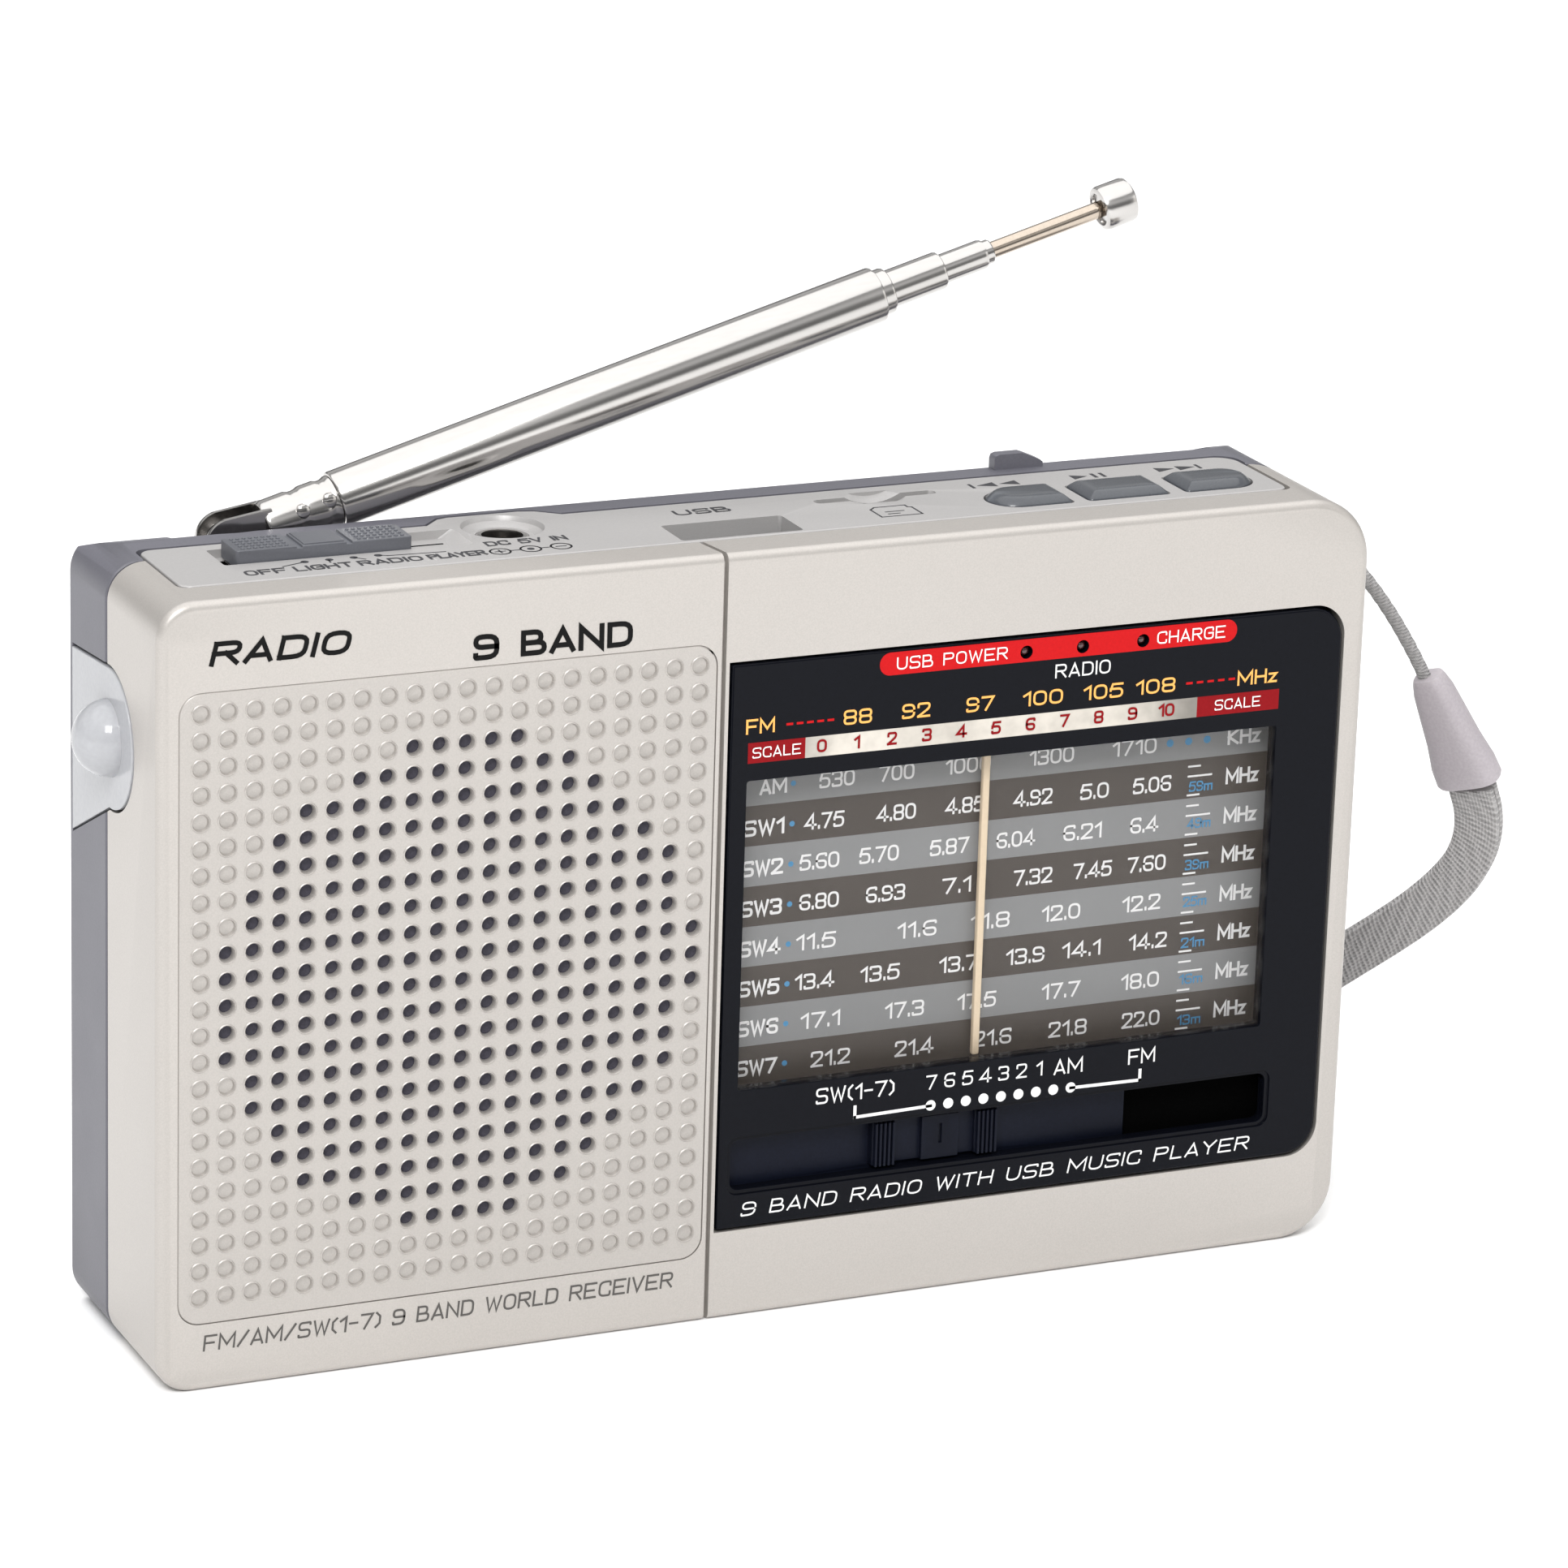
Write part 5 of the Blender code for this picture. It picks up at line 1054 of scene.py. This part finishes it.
def top_marks():
    words = [("USB", -2.9, 1.9, 1.8, 6.2), ("DC 5V IN", -24.4, -3.1, 1.6, 8.8)]
    words += [(text, x, -5.8, 1.7, wide) for text, x, wide in
              (("OFF", -53.2, 4.4), ("LIGHT", -47.1, 6.2), ("RADIO", -40.0, 6.8), ("PLAYER", -32.9, 6.2))]
    lettering("top_words", words, GREY_INK, PANEL_FACE, weight=0.17)
    leads = [((-50.9, -4.55), (-48.5, -3.7)), ((-45.9, -4.5), (-45.8, -3.7)), ((-42.2, -4.5), (-43.0, -3.7)),
             ((-33.6, -4.35), (-39.6, -4.0), (-40.3, -3.6))]
    rings = [circle(x, -6.0, 1.05, 24) for x in (-28.3, -25.0, -21.7)]
    polarity = [((start, -6.0), (start + long, -6.0)) for start, long in
                ((-27.2, 1.1), (-23.9, 1.1), (-28.8, 1.0), (-22.2, 1.0))]
    polarity.append(((-28.3, -6.5), (-28.3, -5.5)))
    card = [(14.0, -5.9), (18.6, -5.9), (18.6, -3.2), (18.2, -3.0), (18.2, -2.3), (14.7, -2.3), (14.0, -3.0),
            (14.0, -5.9)]
    card_lines = [((15.2, -4.2), (17.2, -4.2)), ((15.2, -5.0), (16.4, -5.0))]
    dots = [circle(-48.3 + 2.6 * i, -3.6, 0.42, 14) for i in range(4)] + [circle(-25.0, -6.0, 0.4, 12)]
    lines = strokes(0.2, *leads, *((*ring, ring[0]) for ring in rings), *polarity, card, *card_lines)
    flat_shapes("top_strokes", dots + lines, GREY_INK, PANEL_FACE)
    low, middle, high = 1.5, 2.3, 3.1
    icons = [bar(x, low, x + wide, high) for x, wide in ((27.9, 0.35), (42.2, 0.4), (43.2, 0.4), (54.6, 0.35))]
    icons += [[(x, low), (x + wide, middle), (x, high)] for x, wide in ((39.8, 1.8), (49.8, 2.1), (52.3, 2.1))]
    icons += [[(x + 2.1, low), (x + 2.1, high), (x, middle)] for x in (28.7, 31.3)]
    flat_shapes("key_icons", icons, GREY_INK, PANEL_FACE)


def keys():
    top = TOP + BUTTON_PROUD
    layers = [(TOP - 2.7, 0.0), (TOP - 0.05, 0.0), (TOP + 0.12, 0.06), (top - 0.32, 0.62), (top - 0.18, 0.8),
              (top - 0.07, 1.05), (top - 0.02, 1.4), (top, 1.9)]
    for name in BUTTONS:
        cap = loft("Z", [(z, button_outline(name, -inset)) for z, inset in layers])
        piece(f"{name}_button_cap", cap, KEY, f"{name}_key", (f"{name}_button",), sharp=40)


def function_knob():
    x0, _, x1, _ = FUNCTION_RECESS
    left, right = x0 + 1.3, x1 - 6.7

    def outline(inset):
        return rounded(*grown((left, -2.15, right, 2.7), -inset), max(0.35 - inset, 0.05), 4)

    top = TOP + 1.3
    knob = piece("function_slide", soft("Z", outline, TOP - 0.6, top, 0.12, 3), KNOB, "function_slider",
                 ("function_knob",))
    middle = x0 + 7.3
    steps = [(CUT, block((left + 6.4, -3, top - 0.25), (left + 7.0, 3, TOP + 3))),
             (CUT, block((right - 7.0, -3, top - 0.25), (right - 6.4, 3, TOP + 3))),
             (ADD, block((left + 7.2, -1.9, top - 0.3), (right - 7.2, 2.4, top + 0.13))),
             (ADD, block((middle - 1.0, -1.1, 78.6), (middle + 1.0, 0.4, TOP - 0.4)))]
    carve(knob, *steps, bevel=0.06)
    dots = bmesh.new()
    for start in (left + 0.9, right - 5.5):
        for i in range(8):
            for j in range(5):
                spot = (start + 0.66 * i, -1.5 + 0.88 * j)
                turned("Z", spot, ((0.22, top - 0.05), (0.2, top + 0.09), (0.1, top + 0.15)), 10, dots)
    piece("function_slide_dots", dots, KNOB, "function_slider")


def sockets():
    low = TOP - PANEL_THICK
    profile = ((3.8, 71.8), (3.8, low - GAP), (JACK_HOLE + 0.2, low - GAP), (JACK_HOLE + 0.2, TOP - 0.95),
               (JACK_HOLE + 0.05, TOP - 0.85))
    jack = piece("power_socket", turned("Z", JACK, profile, 48), CHROME, "case", ("dc_jack",))
    pin = turned("Z", JACK, ((0.85, 73.0), (0.85, 79.5), (0.6, 80.0)), 24)
    carve(jack, (CUT, turned("Z", JACK, ((2.1, 73.6), (2.1, TOP - 1.2), (2.3, TOP)), 48)), (ADD, pin))
    x0, y0, x1, y1 = USB
    socket = piece("usb_shell", block((x0 - 0.4, y0 - 0.4, 68.6), (x1 + 0.4, y1 + 0.4, low - GAP)), STEEL, "case",
                   ("usb_socket",))
    carve(socket, (CUT, block((x0 + 0.1, y0 + 0.1, 69.2), (x1 - 0.1, y1 - 0.1, TOP))), bevel=0.08)
    tongue = block((x0 + 1.2, y1 - 2.5, 69.3), (x1 - 1.2, y1 - 0.7, 77.4))
    piece("usb_tongue", tongue, WHITE_INK, "case")
    contacts = bmesh.new()
    for i in range(4):
        x = (x0 + x1) / 2 + (-3.5, -1.0, 1.0, 3.5)[i]
        block((x - 0.5, y1 - 2.58, 70.0), (x + 0.5, y1 - 2.48, 77.0), contacts)
    piece("usb_contacts", contacts, BRASSY, "case")


# ---- aerial and torch ----------------------------------------------------------------------------------


def sloped(bm):
    """Turns up a shape that is modelled level, with the pivot at its origin, to the aerial's resting slope."""
    slope = Matrix.Translation(Vector(PIVOT)) @ Matrix.Rotation(-radians(AERIAL_TILT), 4, "Y")
    bmesh.ops.transform(bm, matrix=slope, verts=bm.verts)
    return bm


def tilted(name, bm, look, body, stands_for=()):
    return piece(name, sloped(bm), look, body, stands_for)


def along_aerial(profile, sides=64):
    return turned("X", (0, 0), profile, sides)


def pivot_hole(x, z, y0, y1):
    return prism("Y", circle(x, z, PIVOT_RADIUS, 24), y0, y1)


def hollow_tube(radius, bore, start, end, neck=()):
    """Profile of a drawn tube whose end is rolled in over the next tube."""
    roll = min(0.3, radius - bore)
    return (*neck, (radius, start), (radius, end - 0.35), (radius - roll * 0.3, end - 0.1),
            (radius - roll * 0.8, end), (bore, end), (bore, start + 0.8))


def aerial():
    x, y, z = PIVOT
    base = turned("Z", (x, y), ((0.7, STEP_Z - 2.3), (0.7, STEP_Z - 0.3), (1.9, STEP_Z - 0.3), (1.9, STEP_Z),
                                (1.75, STEP_Z + 0.1)), 48)
    swivel = piece("swivel_post", base, CHROME, "swivel", ("aerial_swivel",))
    arc = [(x + 1.6 * cos(pi * i / 16), z + 1.6 * sin(pi * i / 16)) for i in range(17)]
    lug = prism("Y", [(x - 1.6, STEP_Z - 0.1), (x + 1.6, STEP_Z - 0.1), *arc], y - 1.0, y + 1.0)
    carve(swivel, (ADD, lug), (CUT, pivot_hole(x, z, y - 3, y + 3)), bevel=0.1)
    barrel = ((2.1, 3.9), (2.5, 4.1), (2.7, 4.5), (2.7, 7.2), (2.55, 7.6), (2.5, 8.0), (2.55, 8.4), (2.7, 8.8),
              (2.7, 10.4), (2.55, 10.8), (2.5, 11.1), (2.55, 11.4), (2.7, 11.7), (2.72, 12.0))
    knuckle = tilted("aerial_fork", along_aerial(barrel), CHROME, "mast", ("aerial_knuckle",))
    arc = [(-2.8 * sin(pi * i / 24), 2.8 * cos(pi * i / 24)) for i in range(25)]
    steps = []
    for side in (-1, 1):
        cheek = prism("Y", [(5.0, 2.2), *arc, (5.0, -2.2)], side * 1.6 - 0.3, side * 1.6 + 0.3)
        steps.append((ADD, sloped(cheek)))
    carve(knuckle, *steps, (CUT, sloped(along_aerial(((2.3, 7.7), (2.3, 13.0))))),
          (CUT, sloped(pivot_hole(0, 0, -3, 3))), bevel=0.12)
    rivets = bmesh.new()
    for along, up in ((8.0, 0.9), (11.0, 1.0)):
        turned("Y", (along, up), ((0.8, -2.0), (0.8, -2.45), (0.6, -2.62), (0.25, -2.7)), 24, rivets)
    tilted("aerial_rivets", rivets, CHROME, "mast")
    pin = ((0.6, -2.5), (0.9, -2.4), (0.9, -2.2), (0.5, -2.2), (0.5, 2.2), (0.9, 2.2), (0.9, 2.4), (0.6, 2.5))
    tilted("fork_pin", turned("Y", (0, 0), pin, 32), STEEL, "mast", ("aerial_pivot_pin",))
    for name, body, radius, bore, start, end in TUBES:
        neck = ((2.0, 8.0), (2.0, 12.02), (2.7, 12.02), (2.9, 12.12)) if body == "mast" else ()
        profile = hollow_tube(radius, bore, start, end, neck)
        if body == "mast_4":
            profile = (*profile[:-4], (1.5, 87.6), (1.3, 87.65), (1.3, 88.35), (1.2, 88.5), (bore, 88.5),
                       (bore, start + 0.8))
        tilted(f"{name}_skin", along_aerial(profile), CHROME, body, (name,))
    rod = along_aerial(((0.9, 29.6), (0.9, 102.1)), 48)
    tilted("aerial_rod_skin", rod, BRASSY, "mast_rod", ("aerial_rod",))
    tip = ((0.8, 102.0), (1.6, 102.0), (1.65, 101.75), (1.8, 101.6), (2.0, 101.6), (2.3, 101.75), (2.42, 102.1),
           (2.42, 104.8), (2.3, 105.15), (2.0, 105.37), (0.8, 105.4))
    tilted("aerial_tip", along_aerial(tip), CHROME, "mast_rod")


def torch():
    """The clear lens with its dome, and the bowl behind it."""
    centre = (TORCH_Y, TORCH_Z)
    lens = piece("torch_pane", soft("X", lambda inset: torch_outline(TORCH_RADIUS - inset), LEFT - 0.15, LEFT + 0.9,
                                    0.12, 3), LENS_CLEAR, "case", ("torch_lens",))
    arc = [(TORCH_DOME * cos(radians(a)), LEFT - TORCH_DOME * 0.97 * sin(radians(a))) for a in range(84, -1, -7)]
    carve(lens, (ADD, turned("X", centre, (*arc, (TORCH_DOME, LEFT + 0.3)), 64)))
    rim = TORCH_RADIUS - 0.2
    bowl = turned("X", centre, ((rim, LEFT + 1.2), (rim, LEFT + 2.0), (2.9, LEFT + 6.0), (2.9, LEFT + 7.0)), 64)
    reflector = piece("torch_bowl", bowl, CHROME, "case", ("torch_reflector",))
    hollow = turned("X", centre, ((rim - 0.5, LEFT), (rim - 0.5, LEFT + 1.5), (rim - 1.4, LEFT + 3.2),
                                  (rim - 3.0, LEFT + 4.9), (2.0, LEFT + 5.9), (2.0, LEFT + 8)), 64)
    carve(reflector, (CUT, hollow))


def carried_over():
    """CAD nodes that show little or nothing, and only take a finer material."""
    looks = {
        # The band switch body takes the near-black look, a painted shade seen through the band slot.
        "aerial": CHROME, "volume_control": DARK, "band_switch_body": PAINTED_SHADE, "function_switch_body": STEEL,
        "key_switch": DARK, "headphone_jack": DARK, "battery_contacts": DARK, "speaker_frame": STEEL,
        "speaker_magnet": STEEL, "speaker_cone": CONE, "main_board": BOARD, "key_board": BOARD, "card_socket": STEEL,
        "tuning_capacitor": LENS_CLEAR, "torch_led": LENS_CLEAR, "ferrite_rod": FERRITE, "ferrite_coil": COPPER,
        "battery_pack": WRAP, "dial_cord": CORD_LOOK, "strap_bar": STEEL,
    }
    for name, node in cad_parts.items():
        for start, look in looks.items():
            if name.startswith(start):
                node.data.materials.clear()
                node.data.materials.append(look)


# ---- studio --------------------------------------------------------------------------------------------


def lamp(name, kind, power, colour=(1, 1, 1)):
    data = bpy.data.lights.new(name, kind)
    data.energy, data.color = power, colour
    made = bpy.data.objects.new(name, data)
    bpy.context.scene.collection.objects.link(made)
    return made


def area_light(name, where, at, size, power, colour=(1, 1, 1)):
    """A square lamp of size metres that stands at one place and faces another."""
    made = lamp(name, "AREA", power, colour)
    made.data.size = size
    made.location = where
    made.rotation_euler = (Vector(at) - Vector(where)).to_track_quat("-Z", "Y").to_euler()


def studio():
    bm = bmesh.new()
    bmesh.ops.create_grid(bm, x_segments=1, y_segments=1, size=3000)
    ground = finish("floor_look", (0.98, 0.98, 0.98), 0.9, (4.0, 0.004), specular=0.0)
    piece("floor", bm, ground, shift=False)
    world = bpy.data.worlds.new("studio")
    world.use_nodes = True
    upward = add_node(world, "SeparateXYZ", add_node(world, "TexCoord", output="Generated"), output="Z")
    sky = grey_ramp(world, upward, ((0.0, 0.9), (0.06, 0.2), (0.22, 0.3), (0.45, 1.0), (0.7, 0.55), (1.0, 0.6)))
    background = world.node_tree.nodes["Background"]
    world.node_tree.links.new(sky, background.inputs["Color"])
    background.inputs["Strength"].default_value = 0.75
    bpy.context.scene.world = world
    bpy.context.scene.view_settings.view_transform = "Standard"
    area_light("key", (-0.40, -0.70, 0.75), (0, 0, 0.05), 0.35, 7.1)
    area_light("fill", (0.9, -0.6, 0.35), (0, 0, 0.04), 0.6, 1.0, (1.0, 0.98, 0.95))
    lamp("overhead", "SUN", 2.4).data.angle = radians(90)


camera()
strap()
front_shell()
seam_strip()
rear_shell()
screws()
grille()
bezel()
scale_plate()
dial_parts()
band_switch()
wheels()
top_plate()
keys()
function_knob()
sockets()
aerial()
torch()
carried_over()
studio()
